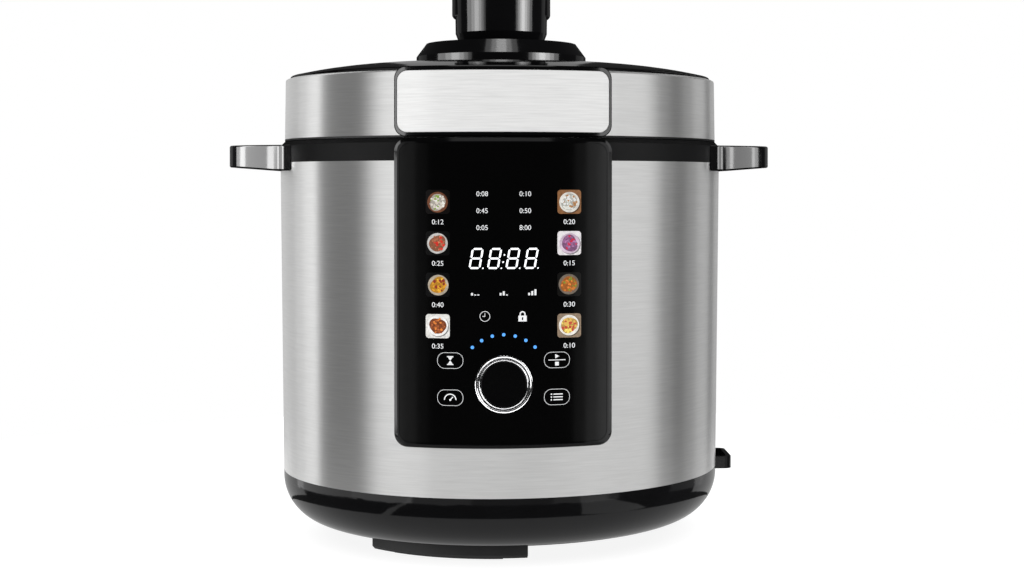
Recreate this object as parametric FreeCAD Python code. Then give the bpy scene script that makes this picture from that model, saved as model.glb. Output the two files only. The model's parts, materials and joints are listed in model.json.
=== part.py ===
import FreeCAD, Part
import math
import os

from FreeCAD import Vector

# Electric pressure cooker. Millimetres, Z up, origin on the body axis at the counter, front towards -Y.

# Outside of the body
shell_top_radius = 145.0
shell_taper = 2.3
shell_sheet = 0.8
base_height = 33.4
base_edge_radius = 30.0
base_wall = 2.6
spigot_height = 6.0
spigot_wall = 2.6
rim_height = 13.5
rim_chamfer = 2.6
rim_wall_width = 10.0
rim_ledge_reach = 17.0
rim_ledge_thickness = 4.0
rim_ledge_drop = 0.5

# Fits
seat_clearance = 0.2
moving_clearance = 0.4
screw_clearance = 0.15
screw_hole_spare = 4.0

# Feet, as angles seen from above with the front at 270 degrees
foot_height = 9.0
foot_inset = 33.7
foot_width = 22.0
foot_span = 56.0
foot_edge = 2.0
front_foot_angle = 250.0
right_rear_foot_angle = 43.0
left_rear_foot_angle = 137.0
foot_pad_height = 1.0
foot_pad_width = 12.0
foot_pad_span = 40.0

# Screws
screw_radius = 1.9
screw_head_radius = 3.4
screw_head_height = 2.4
boss_wall = 3.0

# Base inside
post_inset = 7.0
post_count = 3
post_first_angle = 30.0
post_radius = 5.0
base_boss_height = 12.0
base_screw_grip = 4.0
base_screw_reach = 8.0
vent_count = 7
vent_length = 40.0
vent_width = 3.0
vent_corner = 1.35
vent_pitch = 8.0
vent_row_offset = 62.0

# Ladle loop on the right of the base, with its reach out from the wall
loop_reach = 14.3
loop_front = 14.0
loop_length = 42.0
loop_height = 8.0
loop_drop = 8.3
loop_wall = 3.0
loop_corner = 5.2
loop_tab_height = 3.2
loop_tab_depth = 8.0

# Handles, with their reach out from the wall
handle_reach = 32.0
handle_flat = 28.0
handle_corner = 23.5
handle_corner_angle = 47.0
handle_front_radius = 75.6
handle_root_angle = 21.0
handle_flare = 11.0
handle_flare_angle = 50.0
handle_thickness = 16.5
handle_taper = 2.4
handle_drop = 5.4
handle_bar = 11.0
handle_gap_length = 54.0
handle_root = 4.0
handle_gap_corner = 4.5
handle_edge = 1.2
handle_screw_spread = 77.0
handle_screw_lift = 12.6
handle_screw_length = 18.0

# Cooking pot and what it stands on
pot_ledge_gap = 3.0
pot_wall = 1.5
pot_floor = 2.5
pot_depth = 157.5
pot_corner = 14.0
pot_flange = 6.5
pot_flange_thickness = 1.5
pot_flange_lift = 0.5
liner_gap = 3.0
liner_sheet = 1.0
liner_corner = 6.0
liner_flange_margin = 1.4
liner_floor_hole = 56.0
plate_inset = 17.5
plate_thickness = 16.0
plate_edge = 4.0
plate_hub_radius = 52.0
plate_hub_wall = 10.0
plate_hub_height = 9.0
plate_bore = 16.5
diaphragm_gap = 2.3
diaphragm_bore = 26.0
diaphragm_thickness = 1.2
terminal_radius = 3.0
terminal_length = 18.0
terminal_spacing = 52.0
terminal_inset = 16.0

# Temperature sensor in the middle of the heating plate
sensor_radius = 14.5
sensor_sheet = 1.0
sensor_gap = 0.3
sensor_lip = 4.0
sensor_lip_thickness = 1.2
sensor_lip_gap = 0.3
sensor_travel = 3.0
sensor_strap_thickness = 1.5
sensor_strap_width = 14.0
sensor_strap_half_length = 30.0
sensor_strap_room = 1.5
spring_radius = 7.0
spring_wire = 1.0

# Pressure switch and fuse under the can
switch_length = 20.0
switch_width = 8.0
switch_height = 11.0
switch_offset = 40.0
switch_plunger_radius = 1.5
switch_plunger_gap = 0.3
switch_gap = 3.0
bracket_sheet = 1.5
bracket_reach = 18.0
fuse_length = 24.0
fuse_radius = 4.0
fuse_offset = 82.0

# Power board in the base, and the room above its tallest part
board_thickness = 1.6
power_board_length = 90.0
power_board_width = 58.0
power_board_lift = 8.0
power_board_centre = -24.0
board_inset = 5.0
relay_length = 19.0
relay_width = 15.5
relay_height = 15.0
transformer_length = 28.0
transformer_width = 24.0
transformer_height = 22.0
capacitor_radius = 6.0
capacitor_height = 20.0
power_part_spacing = 27.0
power_room = 13.7

# Appliance inlet at the back of the base
inlet_width = 27.0
inlet_height = 19.5
inlet_depth = 22.0
inlet_wall = 1.6
inlet_socket_depth = 16.0
inlet_corner_cut = 5.0
inlet_flange = 3.0
inlet_flange_thickness = 2.0
inlet_proud = 0.9
inlet_lift = 4.0
inlet_boss_wall = 4.5
pin_width = 2.0
pin_height = 4.0
pin_length = 13.0
pin_spacing = 7.0

# Lid lock
tooth_count = 6
tooth_span = 28.0
lug_span = 25.0
lock_angle = 30.0
tooth_thickness = 2.5
tooth_reach = 4.6
trough_width = 10.0
lock_wall = 2.0
lock_flange_thickness = 1.6
lock_wall_height = 13.3
lug_thickness = 2.7
lug_gap = 0.6
lug_side_gap = 0.6
lock_skirt_gap = 0.8
lock_plate_sheet = 1.6
lock_skirt_height = 15.4
lock_ring_width = 15.0
spoke_count = 3
spoke_width = 24.0
spoke_first_angle = 60.0
lock_hub_radius = 22.0
rim_screw_count = 6
rim_screw_first_angle = 15.0

# Lid
lid_inset = 2.8
lid_draft = 0.5
lid_gap = 0.4
lid_trim_height = 1.2
lid_trim_width = 8.2
lid_trim_upstand = 7.0
lid_trim_upstand_wall = 2.6
lid_band_height = 38.9
lid_band_edge = 1.2
lid_band_return = 1.6
lid_crown = 9.7
lid_cover_wall = 3.0
lid_cover_lip = 2.2
lid_cover_edge = 1.2
lid_cover_skirt = 12.0
crown_run = 34.5
crown_rise = 5.8
bearing_wall = 5.0
bearing_length = 22.0
dish_sheet = 1.6
dish_wall = 1.2
dish_gap = 0.6
dish_post_radius = 5.0
dish_post_circle = 60.0
dish_post_first_angle = 105.0
dish_screw_length = 12.8
seal_width = 10.3
seal_gap = 0.3
seal_height = 12.6
seal_groove = 3.4
seal_rack_wall = 1.2
seal_rack_height = 8.0

# Plaque on the front of the lid
plaque_half_width = 64.8
plaque_bottom_gap = 0.3
plaque_height = 41.8
plaque_corner = 7.0
plaque_frame_width = 1.4
plaque_frame_band = 2.5
plaque_frame_depth = 1.7
plaque_bevel = 0.6
plaque_depth = 1.3

# Lid knob
flange_gap = 9.7
flange_side = 6.6
flange_taper = 6.5
flange_cone = 8.8
flange_wall = 2.5
knob_gap = 0.7
knob_foot_radius = 28.0
knob_radius = 30.4
knob_top_radius = 31.0
knob_foot_height = 6.4
knob_wing_lift = 15.8
knob_height = 51.0
knob_wing_length = 65.4
knob_wing_width = 44.0
knob_wing_edge = 3.5
knob_top_edge = 6.0
knob_cap_radius = 22.0
knob_cap_thickness = 2.0
knob_cap_recess = 0.6
shaft_radius = 9.0
shaft_socket = 24.0
shaft_screw_length = 12.8

# Steam valve and float on the back half of the lid
valve_margin = 8.3
pipe_radius = 5.0
pipe_bore = 2.0
pipe_collar_radius = 9.0
pipe_collar_height = 4.0
pipe_tail = 5.0
pipe_rise = 10.0
valve_radius = 13.0
valve_height = 20.0
valve_lift = 1.4
valve_roof = 8.0
valve_lever_length = 30.0
valve_lever_width = 11.0
valve_lever_end = 4.95
valve_lever_height = 8.0
valve_edge = 2.0
valve_well_wall = 3.0
valve_well_height = 3.0
valve_well_gap = 2.0
shield_radius = 12.0
shield_height = 9.0
shield_sheet = 0.8
shield_slot_count = 8
shield_slot_width = 2.4
float_angle = 118.0
float_radius = 3.0
float_head_radius = 5.5
float_head_height = 1.8
float_travel = 5.0
float_collar_radius = 9.0
float_collar_height = 1.8
float_head_gap = 0.3
float_seal_radius = 6.0
float_seal_height = 3.0
float_seal_gap = 0.5

# Control panel
panel_half_width = 64.6
panel_lift = 29.9
panel_top_drop = 0.2
panel_corner = 8.0
panel_gap = 0.2
panel_depth = 4.4
panel_back = 1.6
panel_border = 3.0
panel_bevel = 2.2
panel_window_margin = 14.0
panel_opening_margin = 28.0
lens_thickness = 2.0
lens_recess = 0.3
lens_bore_clearance = 0.6
control_board_gap = 0.7
control_board_half_width = 49.0
control_board_margin = 26.0
board_boss_radius = 3.5
board_boss_inset = 5.0
display_length = 52.0
display_height = 24.0
display_depth = 10.5
display_drop = 70.6

# Dial
dial_lift = 39.1
dial_radius = 17.0
dial_cap_radius = 13.4
dial_depth = 10.0
dial_gap = 0.5
dial_knurl_count = 60
dial_knurl_depth = 0.45
dial_cap_recess = 0.3
dial_bead = 1.7
dial_lip = 0.9
dial_groove_depth = 0.7
dial_cap_edge = 0.72
encoder_width = 12.6
encoder_depth = 7.0
encoder_bush_radius = 3.9
encoder_bush_length = 6.4
encoder_shaft_radius = 3.0
encoder_shaft_overlap = 4.0
dial_socket_depth = 6.0

# Condensate cup at the back
cup_width = 46.0
cup_height = 52.0
cup_depth = 15.0
cup_wall = 1.6
cup_corner = 5.0
cup_drop = 8.6
cup_ear = 4.0
cup_ear_thickness = 2.0
cup_gap = 0.5
cup_bracket_plate = 1.8
rail_wall = 2.0
drain_radius = 2.5
drain_lift = 3.0

# Heights worked out from the sizes above, from the counter up
base_bottom = foot_pad_height + foot_height
base_floor = base_bottom + base_wall
shell_bottom = base_bottom + base_height
power_board_top = base_floor + power_board_lift + board_thickness
liner_bottom = power_board_top + transformer_height + power_room
liner_floor = liner_bottom + liner_sheet
diaphragm_top = liner_floor + diaphragm_thickness
plate_bottom = diaphragm_top + plate_hub_height
pot_bottom = plate_bottom + plate_thickness
pot_inside = pot_bottom + pot_floor
pot_rim_top = pot_inside + pot_depth
liner_top = pot_rim_top - pot_flange_thickness - pot_flange_lift
rim_ledge = liner_top - liner_sheet
shell_top = rim_ledge + rim_ledge_drop
shell_height = shell_top - shell_bottom
rim_top = shell_top + rim_height
lock_top = liner_top + lock_wall_height
tooth_bottom = lock_top - tooth_thickness
lug_top = tooth_bottom - lug_gap
lug_bottom = lug_top - lug_thickness
lock_plate_top = lug_bottom + lock_skirt_height
lock_plate_bottom = lock_plate_top - lock_plate_sheet
lid_bottom = rim_top + lid_gap
lid_band_bottom = lid_bottom + lid_trim_height
lid_band_top = lid_band_bottom + lid_band_height
lid_flat = lid_band_top + lid_crown
flange_top = lid_flat + flange_side + flange_cone
knob_bottom = flange_top + knob_gap
knob_top = knob_bottom + knob_height
seal_bottom = pot_rim_top + seal_gap
seal_top = seal_bottom + seal_height
dish_bottom = seal_top
dish_top = dish_bottom + dish_sheet
panel_bottom = shell_bottom + panel_lift
panel_top = rim_top - panel_top_drop
dial_centre = panel_bottom + dial_lift
display_centre = panel_top - display_drop
cup_top = shell_top - cup_drop

# Radii worked out from the sizes above, from the wall inwards
shell_bottom_radius = shell_top_radius - shell_taper
shell_slope = shell_taper / shell_height
handle_end = shell_top_radius + handle_reach
loop_end = shell_bottom_radius + loop_reach
inlet_face = shell_bottom_radius + inlet_proud
foot_outer_radius = shell_bottom_radius - foot_inset
post_circle_radius = foot_outer_radius - foot_width - post_inset
rim_trough_radius = shell_top_radius - rim_wall_width
rim_ledge_radius = rim_trough_radius - rim_ledge_reach
liner_flange_reach = rim_trough_radius - liner_flange_margin
liner_radius = rim_ledge_radius - pot_ledge_gap - liner_sheet
pot_outer_radius = liner_radius - liner_gap
pot_radius = pot_outer_radius - pot_wall
plate_radius = pot_radius - plate_inset
terminal_offset = plate_radius - terminal_inset
terminal_hole = 2 * terminal_radius
diaphragm_radius = math.hypot(terminal_spacing / 2, terminal_offset) - terminal_hole - diaphragm_gap
lock_wall_radius = rim_trough_radius - trough_width
lock_outer_radius = lock_wall_radius + lock_wall
tooth_radius = lock_wall_radius - tooth_reach
lock_skirt_radius = tooth_radius - lock_skirt_gap
lock_skirt_inner = lock_skirt_radius - lock_plate_sheet
lug_radius = lock_wall_radius - lug_side_gap
dish_radius = lock_skirt_inner - dish_gap
seal_radius = dish_radius - dish_wall - seat_clearance
seal_rack_radius = seal_radius - seal_width - seat_clearance
rim_screw_circle = (lock_outer_radius + rim_trough_radius) / 2
screw_hole = screw_radius + screw_clearance
lid_radius = shell_top_radius - lid_inset
lid_trim_inner_radius = lid_radius - lid_trim_width
valve_offset = seal_rack_radius - seal_rack_wall - shield_radius - valve_margin
valve_well_radius = valve_radius + valve_well_gap + valve_well_wall
flange_radius = valve_offset - valve_well_radius - flange_gap
flange_top_radius = flange_radius - flange_taper
flange_bore = shaft_radius + 2 * moving_clearance

# Where the panel, the boards and the valves stand
lens_front = panel_depth - lens_recess
lens_back = lens_front - lens_thickness
board_room_radius = shell_bottom_radius - shell_sheet
control_board_face = math.sqrt(board_room_radius**2 - control_board_half_width**2) - control_board_gap
valve_place = Vector(0, valve_offset, 0)
float_place = Vector(
    valve_offset * math.cos(math.radians(float_angle)),
    valve_offset * math.sin(math.radians(float_angle)),
    0,
)

UP = Vector(0, 0, 1)
RIGHT = Vector(1, 0, 0)
BACK = Vector(0, 1, 0)
ORIGIN = Vector(0, 0, 0)
FULL_TURN = 360.0
SLIGHT = 0.001


class Outline:
    """A closed outline of radius and height, drawn with lines and arcs and turned about the body axis."""

    def __init__(self, radius, height):
        self.first = Vector(radius, 0, height)
        self.last = self.first
        self.edges = []

    def to(self, radius, height):
        end = Vector(radius, 0, height)
        self.edges.append(Part.LineSegment(self.last, end).toShape())
        self.last = end
        return self

    def through(self, mid_radius, mid_height, radius, height):
        end = Vector(radius, 0, height)
        middle = Vector(mid_radius, 0, mid_height)
        self.edges.append(Part.Arc(self.last, middle, end).toShape())
        self.last = end
        return self

    def round(self, centre_radius, centre_height, radius, height):
        centre = Vector(centre_radius, 0, centre_height)
        start_arm = self.last - centre
        end_arm = Vector(radius, 0, height) - centre
        outward = (start_arm + end_arm).normalize()
        middle = centre + outward * start_arm.Length
        return self.through(middle.x, middle.z, radius, height)

    def face(self):
        self.to(self.first.x, self.first.z)
        return Part.Face(Part.Wire(self.edges))

    def turned(self):
        return self.face().revolve(ORIGIN, UP, FULL_TURN)

    def swept(self, start, span):
        face = self.face()
        face.rotate(ORIGIN, UP, start)
        return face.revolve(ORIGIN, UP, span)


def shell_radius(height):
    """Outside radius of the tapered wall, carried on past its ends."""
    return shell_bottom_radius + shell_slope * (height - shell_bottom)


def wall_layer(inner, outer, bottom, top):
    """A tapered tube that follows the wall, between two distances from its outside."""
    tube = Outline(shell_radius(bottom) + inner, bottom)
    tube.to(shell_radius(bottom) + outer, bottom)
    tube.to(shell_radius(top) + outer, top)
    tube.to(shell_radius(top) + inner, top)
    return tube.turned()


def tube(inner, outer, bottom, top):
    """A plain ring about the body axis."""
    return Outline(inner, bottom).to(outer, bottom).to(outer, top).to(inner, top).turned()


def block(low_x, high_x, low_y, high_y, low_z, high_z):
    size = Vector(high_x - low_x, high_y - low_y, high_z - low_z)
    return Part.makeBox(size.x, size.y, size.z, Vector(low_x, low_y, low_z))


def edges_along(shape, direction):
    """The straight edges that run along a direction."""
    found = []
    for edge in shape.Edges:
        straight = isinstance(edge.Curve, Part.Line)
        if straight and 1 - abs(edge.tangentAt(edge.FirstParameter).dot(direction)) < SLIGHT:
            found.append(edge)
    return found


def rounded(shape, direction, radius):
    """Round the corners that run along a direction."""
    return shape.makeFillet(radius, edges_along(shape, direction))


def front_slab(half_width, bottom, top, corner, front, back):
    """A rounded rectangle seen from the front, as deep as from front to back."""
    return rounded(block(-half_width, half_width, front, back, bottom, top), BACK, corner)


def post(x, y, radius, bottom, top):
    return Part.makeCylinder(radius, top - bottom, Vector(x, y, bottom))


def on_circle(radius, angle):
    turn = math.radians(angle)
    return Vector(radius * math.cos(turn), radius * math.sin(turn), 0)


def around(count, first):
    """Evenly spaced angles."""
    return [first + FULL_TURN * step / count for step in range(count)]


def joined(first, others):
    return first.fuse(others).removeSplitter()


def group(shapes):
    return Part.makeCompound(shapes)


def upright_screw(place, head_low, head_high, tip):
    """A screw on an upright axis, with its head between two heights and its shank out to tip."""
    head = post(place.x, place.y, screw_head_radius, head_low, head_high)
    shank = post(place.x, place.y, screw_radius, min(tip, head_low), max(tip, head_high))
    return joined(head, [shank])


# Base


def inlet_centre():
    return base_floor + inlet_lift + inlet_height / 2


def inlet_body(half_width_extra, height_extra, front, back):
    """The inlet's outline with its two cut upper corners, as deep as from front to back."""
    half_width = inlet_width / 2 + half_width_extra
    low = inlet_centre() - inlet_height / 2 - height_extra
    high = inlet_centre() + inlet_height / 2 + height_extra
    body = block(-half_width, half_width, front, back, low, high)
    upper = [edge for edge in edges_along(body, BACK) if edge.CenterOfMass.z > inlet_centre()]
    return body.makeChamfer(inlet_corner_cut, upper)


def inlet_plate(extra, front, back):
    """The inlet's flange, as deep as from front to back."""
    half_width = inlet_width / 2 + inlet_flange + extra
    half_height = inlet_height / 2 + inlet_flange + extra
    middle = inlet_centre()
    plate = block(-half_width, half_width, front, back, middle - half_height, middle + half_height)
    return rounded(plate, BACK, inlet_flange)


def make_base_cover():
    edge_centre = base_bottom + base_edge_radius
    flat_radius = shell_bottom_radius - base_edge_radius
    spigot_radius = shell_bottom_radius - shell_sheet - seat_clearance
    bowl = Outline(0, base_bottom)
    bowl.to(flat_radius, base_bottom)
    bowl.round(flat_radius, edge_centre, shell_bottom_radius, edge_centre)
    bowl.to(shell_bottom_radius, shell_bottom)
    bowl.to(spigot_radius, shell_bottom)
    bowl.to(spigot_radius, shell_bottom + spigot_height)
    bowl.to(spigot_radius - spigot_wall, shell_bottom + spigot_height)
    bowl.to(spigot_radius - spigot_wall, shell_bottom)
    bowl.to(shell_bottom_radius - base_wall, edge_centre)
    bowl.round(flat_radius, edge_centre, flat_radius, base_floor)
    bowl.to(0, base_floor)
    cover = bowl.turned()
    added = []
    removed = []
    for angle in around(post_count, post_first_angle):
        place = on_circle(post_circle_radius, angle)
        boss_radius = screw_head_radius + screw_clearance + boss_wall
        boss_top = base_bottom + base_boss_height
        added.append(post(place.x, place.y, boss_radius, base_bottom, boss_top))
        head_room = boss_top - base_screw_grip
        removed.append(post(place.x, place.y, screw_head_radius + screw_clearance, base_bottom, head_room))
        removed.append(post(place.x, place.y, screw_hole, base_bottom, boss_top))
    for corner in power_board_corners():
        added.append(post(corner.x, corner.y, board_boss_radius, base_bottom, base_floor + power_board_lift))
    for row in range(vent_count):
        x = (row - (vent_count - 1) / 2) * vent_pitch
        slot = block(
            x - vent_width / 2,
            x + vent_width / 2,
            vent_row_offset - vent_length / 2,
            vent_row_offset + vent_length / 2,
            base_bottom,
            base_floor,
        )
        removed.append(rounded(slot, UP, vent_corner))
    boss_front = inlet_face - inlet_flange_thickness - inlet_depth - inlet_boss_wall
    boss_back = inlet_face - inlet_flange_thickness
    boss = block(
        -inlet_width / 2 - inlet_boss_wall,
        inlet_width / 2 + inlet_boss_wall,
        boss_front,
        boss_back,
        base_bottom + base_wall / 2,
        inlet_centre() + inlet_height / 2 + inlet_boss_wall,
    )
    added.append(rounded(boss, BACK, inlet_flange))
    removed.append(inlet_body(seat_clearance, seat_clearance, boss_front, boss_back))
    removed.append(inlet_plate(seat_clearance, boss_back, boss_back + inlet_depth))
    removed.extend(loop_tabs(seat_clearance))
    return joined(cover, added).cut(removed)


def make_feet():
    feet = []
    pads = []
    for angle in (front_foot_angle, right_rear_foot_angle, left_rear_foot_angle):
        inner = foot_outer_radius - foot_width
        foot = Outline(inner, base_bottom)
        foot.to(inner, foot_pad_height + foot_edge)
        foot.to(inner + foot_edge, foot_pad_height)
        foot.to(foot_outer_radius - foot_edge, foot_pad_height)
        foot.to(foot_outer_radius, foot_pad_height + foot_edge)
        foot.to(foot_outer_radius, base_bottom)
        feet.append(foot.swept(angle - foot_span / 2, foot_span))
        middle = foot_outer_radius - foot_width / 2
        pad = Outline(middle - foot_pad_width / 2, 0)
        pad.to(middle + foot_pad_width / 2, 0)
        pad.to(middle + foot_pad_width / 2, foot_pad_height)
        pad.to(middle - foot_pad_width / 2, foot_pad_height)
        pads.append(pad.swept(angle - foot_pad_span / 2, foot_pad_span))
    return group(feet), group(pads)


def make_base_screws():
    screws = []
    boss_top = base_bottom + base_boss_height
    for angle in around(post_count, post_first_angle):
        head_high = boss_top - base_screw_grip
        tip = boss_top + base_screw_reach
        place = on_circle(post_circle_radius, angle)
        screws.append(upright_screw(place, head_high - screw_head_height, head_high, tip))
    return group(screws)


def make_support_posts():
    posts = []
    boss_top = base_bottom + base_boss_height
    for angle in around(post_count, post_first_angle):
        place = on_circle(post_circle_radius, angle)
        bar = post(place.x, place.y, post_radius, boss_top, liner_bottom)
        hole = post(place.x, place.y, screw_hole, boss_top, boss_top + base_screw_reach + screw_hole_spare)
        posts.append(bar.cut(hole))
    return group(posts)


def loop_bottom():
    return shell_bottom - loop_drop


def loop_tabs(extra):
    """The tabs at the ends of the loop, which hold it in slots of the base wall."""
    tabs = []
    low = loop_bottom() + loop_wall / 2
    for start in (loop_front, loop_front + loop_length - loop_wall):
        root = math.sqrt(shell_bottom_radius**2 - (start + loop_wall / 2) ** 2)
        tabs.append(
            block(
                root - loop_tab_depth,
                root + loop_wall,
                start - extra,
                start + loop_wall + extra,
                low - extra,
                low + loop_tab_height + extra,
            )
        )
    return tabs


def make_ladle_loop():
    low = loop_bottom()
    high = low + loop_height
    back = loop_front + loop_length
    root = math.sqrt((shell_bottom_radius + panel_gap) ** 2 - back**2)
    outer = rounded(block(0, loop_end, loop_front, back, low, high), UP, loop_corner)
    inner = block(
        root + loop_wall,
        loop_end - loop_wall,
        loop_front + loop_wall,
        back - loop_wall,
        low,
        high,
    )
    strap = outer.cut(rounded(inner, UP, loop_corner - loop_wall / 2))
    plate = strap.cut(post(0, 0, shell_bottom_radius + panel_gap, low, high))
    return joined(plate, loop_tabs(0))


# Wall, rim and handles


def make_outer_shell():
    wall = wall_layer(-shell_sheet, 0, shell_bottom, shell_top)
    window = front_slab(
        panel_half_width - panel_window_margin / 2,
        panel_bottom + panel_window_margin / 2,
        shell_top - panel_window_margin / 2,
        panel_corner,
        panel_front_plane(),
        0,
    )
    return wall.cut(window)


def make_upper_rim():
    spigot_low = shell_top - spigot_height
    spigot_radius = shell_radius(spigot_low) - shell_sheet - seat_clearance
    outer = shell_top_radius
    ledge_low = rim_ledge - rim_ledge_thickness
    ring = Outline(rim_ledge_radius, ledge_low)
    ring.to(spigot_radius - spigot_wall, ledge_low)
    ring.to(spigot_radius - spigot_wall, spigot_low)
    ring.to(spigot_radius, spigot_low)
    ring.to(spigot_radius, shell_top)
    ring.to(outer, shell_top)
    ring.to(outer, rim_top - rim_chamfer)
    ring.to(outer - rim_chamfer, rim_top)
    ring.to(rim_trough_radius, rim_top)
    ring.to(rim_trough_radius, rim_ledge)
    ring.to(rim_ledge_radius, rim_ledge)
    rim = ring.turned()
    removed = []
    for angle in around(rim_screw_count, rim_screw_first_angle):
        place = on_circle(rim_screw_circle, angle)
        removed.append(post(place.x, place.y, screw_hole, ledge_low, rim_ledge))
    for side in (-1, 1):
        for place in handle_screw_places():
            seat = handle_screw_seat()
            removed.append(side_pin(side, place, screw_hole, seat, handle_end))
            removed.append(side_pin(side, place, screw_head_radius + screw_clearance, lock_wall_radius, seat))
    drain = Vector(0, rim_ledge_radius, liner_top + drain_lift)
    removed.append(Part.makeCylinder(drain_radius, outer, drain, BACK))
    return rim.cut(removed)


def handle_low():
    return shell_top - handle_drop


def handle_screw_seat():
    """How far from the middle plane the screw heads seat in the trough wall."""
    across = handle_screw_spread / 2
    return math.sqrt(rim_trough_radius**2 - across**2) + screw_head_height


def handle_screw_places():
    across = handle_screw_spread / 2
    height = handle_low() + handle_screw_lift
    return [Vector(0, -across, height), Vector(0, across, height)]


def side_pin(side, place, radius, near, far):
    """A round bar along X on one side of the body, from near to far."""
    start = Vector(side * near, place.y, place.z)
    return Part.makeCylinder(radius, far - near, start, RIGHT * side)


def handle_plan():
    """The handle from above: a root that flares into the wall, bowed sides and a flat end."""

    def facing(angle):
        turn = math.radians(angle)
        return Vector(math.sin(turn), -math.cos(turn), 0)

    def bow(centre, radius, first, last):
        turns = (first, (first + last) / 2, last)
        return Part.Arc(*[centre + facing(turn) * radius for turn in turns]).toShape()

    corner = Vector(handle_end - handle_corner, -handle_flat / 2, 0)
    side = corner + facing(handle_corner_angle) * (handle_corner - handle_front_radius)
    root = side + facing(handle_root_angle) * (handle_front_radius + handle_flare)
    half_turn = FULL_TURN / 2
    flare = bow(root, handle_flare, handle_flare_angle + half_turn, handle_root_angle + half_turn)
    inside = flare.Vertexes[0].Point - facing(handle_flare_angle + FULL_TURN / 4) * handle_flare
    edges = [
        Part.makeLine(inside, flare.Vertexes[0].Point),
        flare,
        bow(side, handle_front_radius, handle_root_angle, handle_corner_angle),
        bow(corner, handle_corner, handle_corner_angle, FULL_TURN / 4),
    ]
    mirrored = [edge.mirror(ORIGIN, BACK) for edge in edges]
    end = corner + RIGHT * handle_corner
    edges.append(Part.makeLine(end, Vector(end.x, -end.y, 0)))
    edges.append(Part.makeLine(inside, Vector(inside.x, -inside.y, 0)))
    return Part.Face(Part.Wire(Part.__sortEdges__(edges + mirrored)))


def make_handle(side):
    low = handle_low()
    high = low + handle_thickness
    near = shell_top_radius
    grip = handle_plan().extrude(UP * handle_thickness)
    grip.translate(UP * low)
    underside = Outline(near, low).to(handle_end, low + handle_taper).to(handle_end, low)
    wedge = underside.face().extrude(BACK * 2 * near)
    wedge.translate(BACK * -near)
    gap_half = handle_gap_length / 2
    gap = block(near + handle_root, handle_end - handle_bar, -gap_half, gap_half, low, high)
    grip = grip.cut([wedge, rounded(gap, UP, handle_gap_corner)])
    soft = []
    for edge in grip.Edges:
        upright = edge.BoundBox.ZLength > handle_thickness / 2
        if edge.CenterOfMass.x > near and not upright and edge.BoundBox.XMin > near - handle_drop:
            soft.append(edge)
    grip = grip.makeFillet(handle_edge, soft)
    grip = grip.cut(post(0, 0, near + seat_clearance, low, high))
    holes = []
    hole_end = handle_screw_seat() + handle_screw_length + screw_hole_spare
    for place in handle_screw_places():
        holes.append(side_pin(1, place, screw_hole, 0, hole_end))
    grip = grip.cut(holes)
    if side < 0:
        grip.rotate(ORIGIN, UP, FULL_TURN / 2)
    return grip


def make_handle_screws():
    screws = []
    seat = handle_screw_seat()
    for side in (-1, 1):
        for place in handle_screw_places():
            head = side_pin(side, place, screw_head_radius, seat - screw_head_height, seat)
            tip = seat + handle_screw_length
            shank = side_pin(side, place, screw_radius, seat - screw_head_height, tip)
            screws.append(joined(head, [shank]))
    return group(screws)


def make_rim_screws():
    screws = []
    low = liner_top + lock_flange_thickness
    for angle in around(rim_screw_count, rim_screw_first_angle):
        place = on_circle(rim_screw_circle, angle)
        screws.append(upright_screw(place, low, low + screw_head_height, rim_ledge - rim_ledge_thickness))
    return group(screws)


# Pot, can and heater


def make_lock_ring():
    ring = Outline(lock_wall_radius, liner_top)
    ring.to(liner_flange_reach, liner_top)
    ring.to(liner_flange_reach, liner_top + lock_flange_thickness)
    ring.to(lock_outer_radius, liner_top + lock_flange_thickness)
    ring.to(lock_outer_radius, lock_top)
    ring.to(lock_wall_radius, lock_top)
    wall = ring.turned()
    teeth = []
    for angle in around(tooth_count, 0):
        tooth = Outline(tooth_radius, tooth_bottom)
        tooth.to(lock_outer_radius - lock_wall / 2, tooth_bottom)
        tooth.to(lock_outer_radius - lock_wall / 2, lock_top)
        tooth.to(tooth_radius, lock_top)
        teeth.append(tooth.swept(angle - tooth_span / 2, tooth_span))
    holes = []
    for angle in around(rim_screw_count, rim_screw_first_angle):
        place = on_circle(rim_screw_circle, angle)
        holes.append(post(place.x, place.y, screw_hole, liner_top, lock_top))
    return joined(wall, teeth).cut(holes)


def make_liner_can():
    outer = liner_radius + liner_sheet
    can = Outline(liner_floor_hole, liner_bottom)
    can.to(outer - liner_corner, liner_bottom)
    can.round(outer - liner_corner, liner_bottom + liner_corner, outer, liner_bottom + liner_corner)
    can.to(outer, rim_ledge)
    can.to(liner_flange_reach, rim_ledge)
    can.to(liner_flange_reach, liner_top)
    can.to(liner_radius, liner_top)
    can.to(liner_radius, liner_bottom + liner_corner)
    can.round(outer - liner_corner, liner_bottom + liner_corner, outer - liner_corner, liner_floor)
    can.to(liner_floor_hole, liner_floor)
    holes = []
    for angle in around(rim_screw_count, rim_screw_first_angle):
        place = on_circle(rim_screw_circle, angle)
        holes.append(post(place.x, place.y, screw_hole, rim_ledge, liner_top))
    for place in terminal_places():
        holes.append(post(place.x, place.y, terminal_hole, liner_bottom, liner_floor))
    return can.turned().cut(holes)


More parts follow.
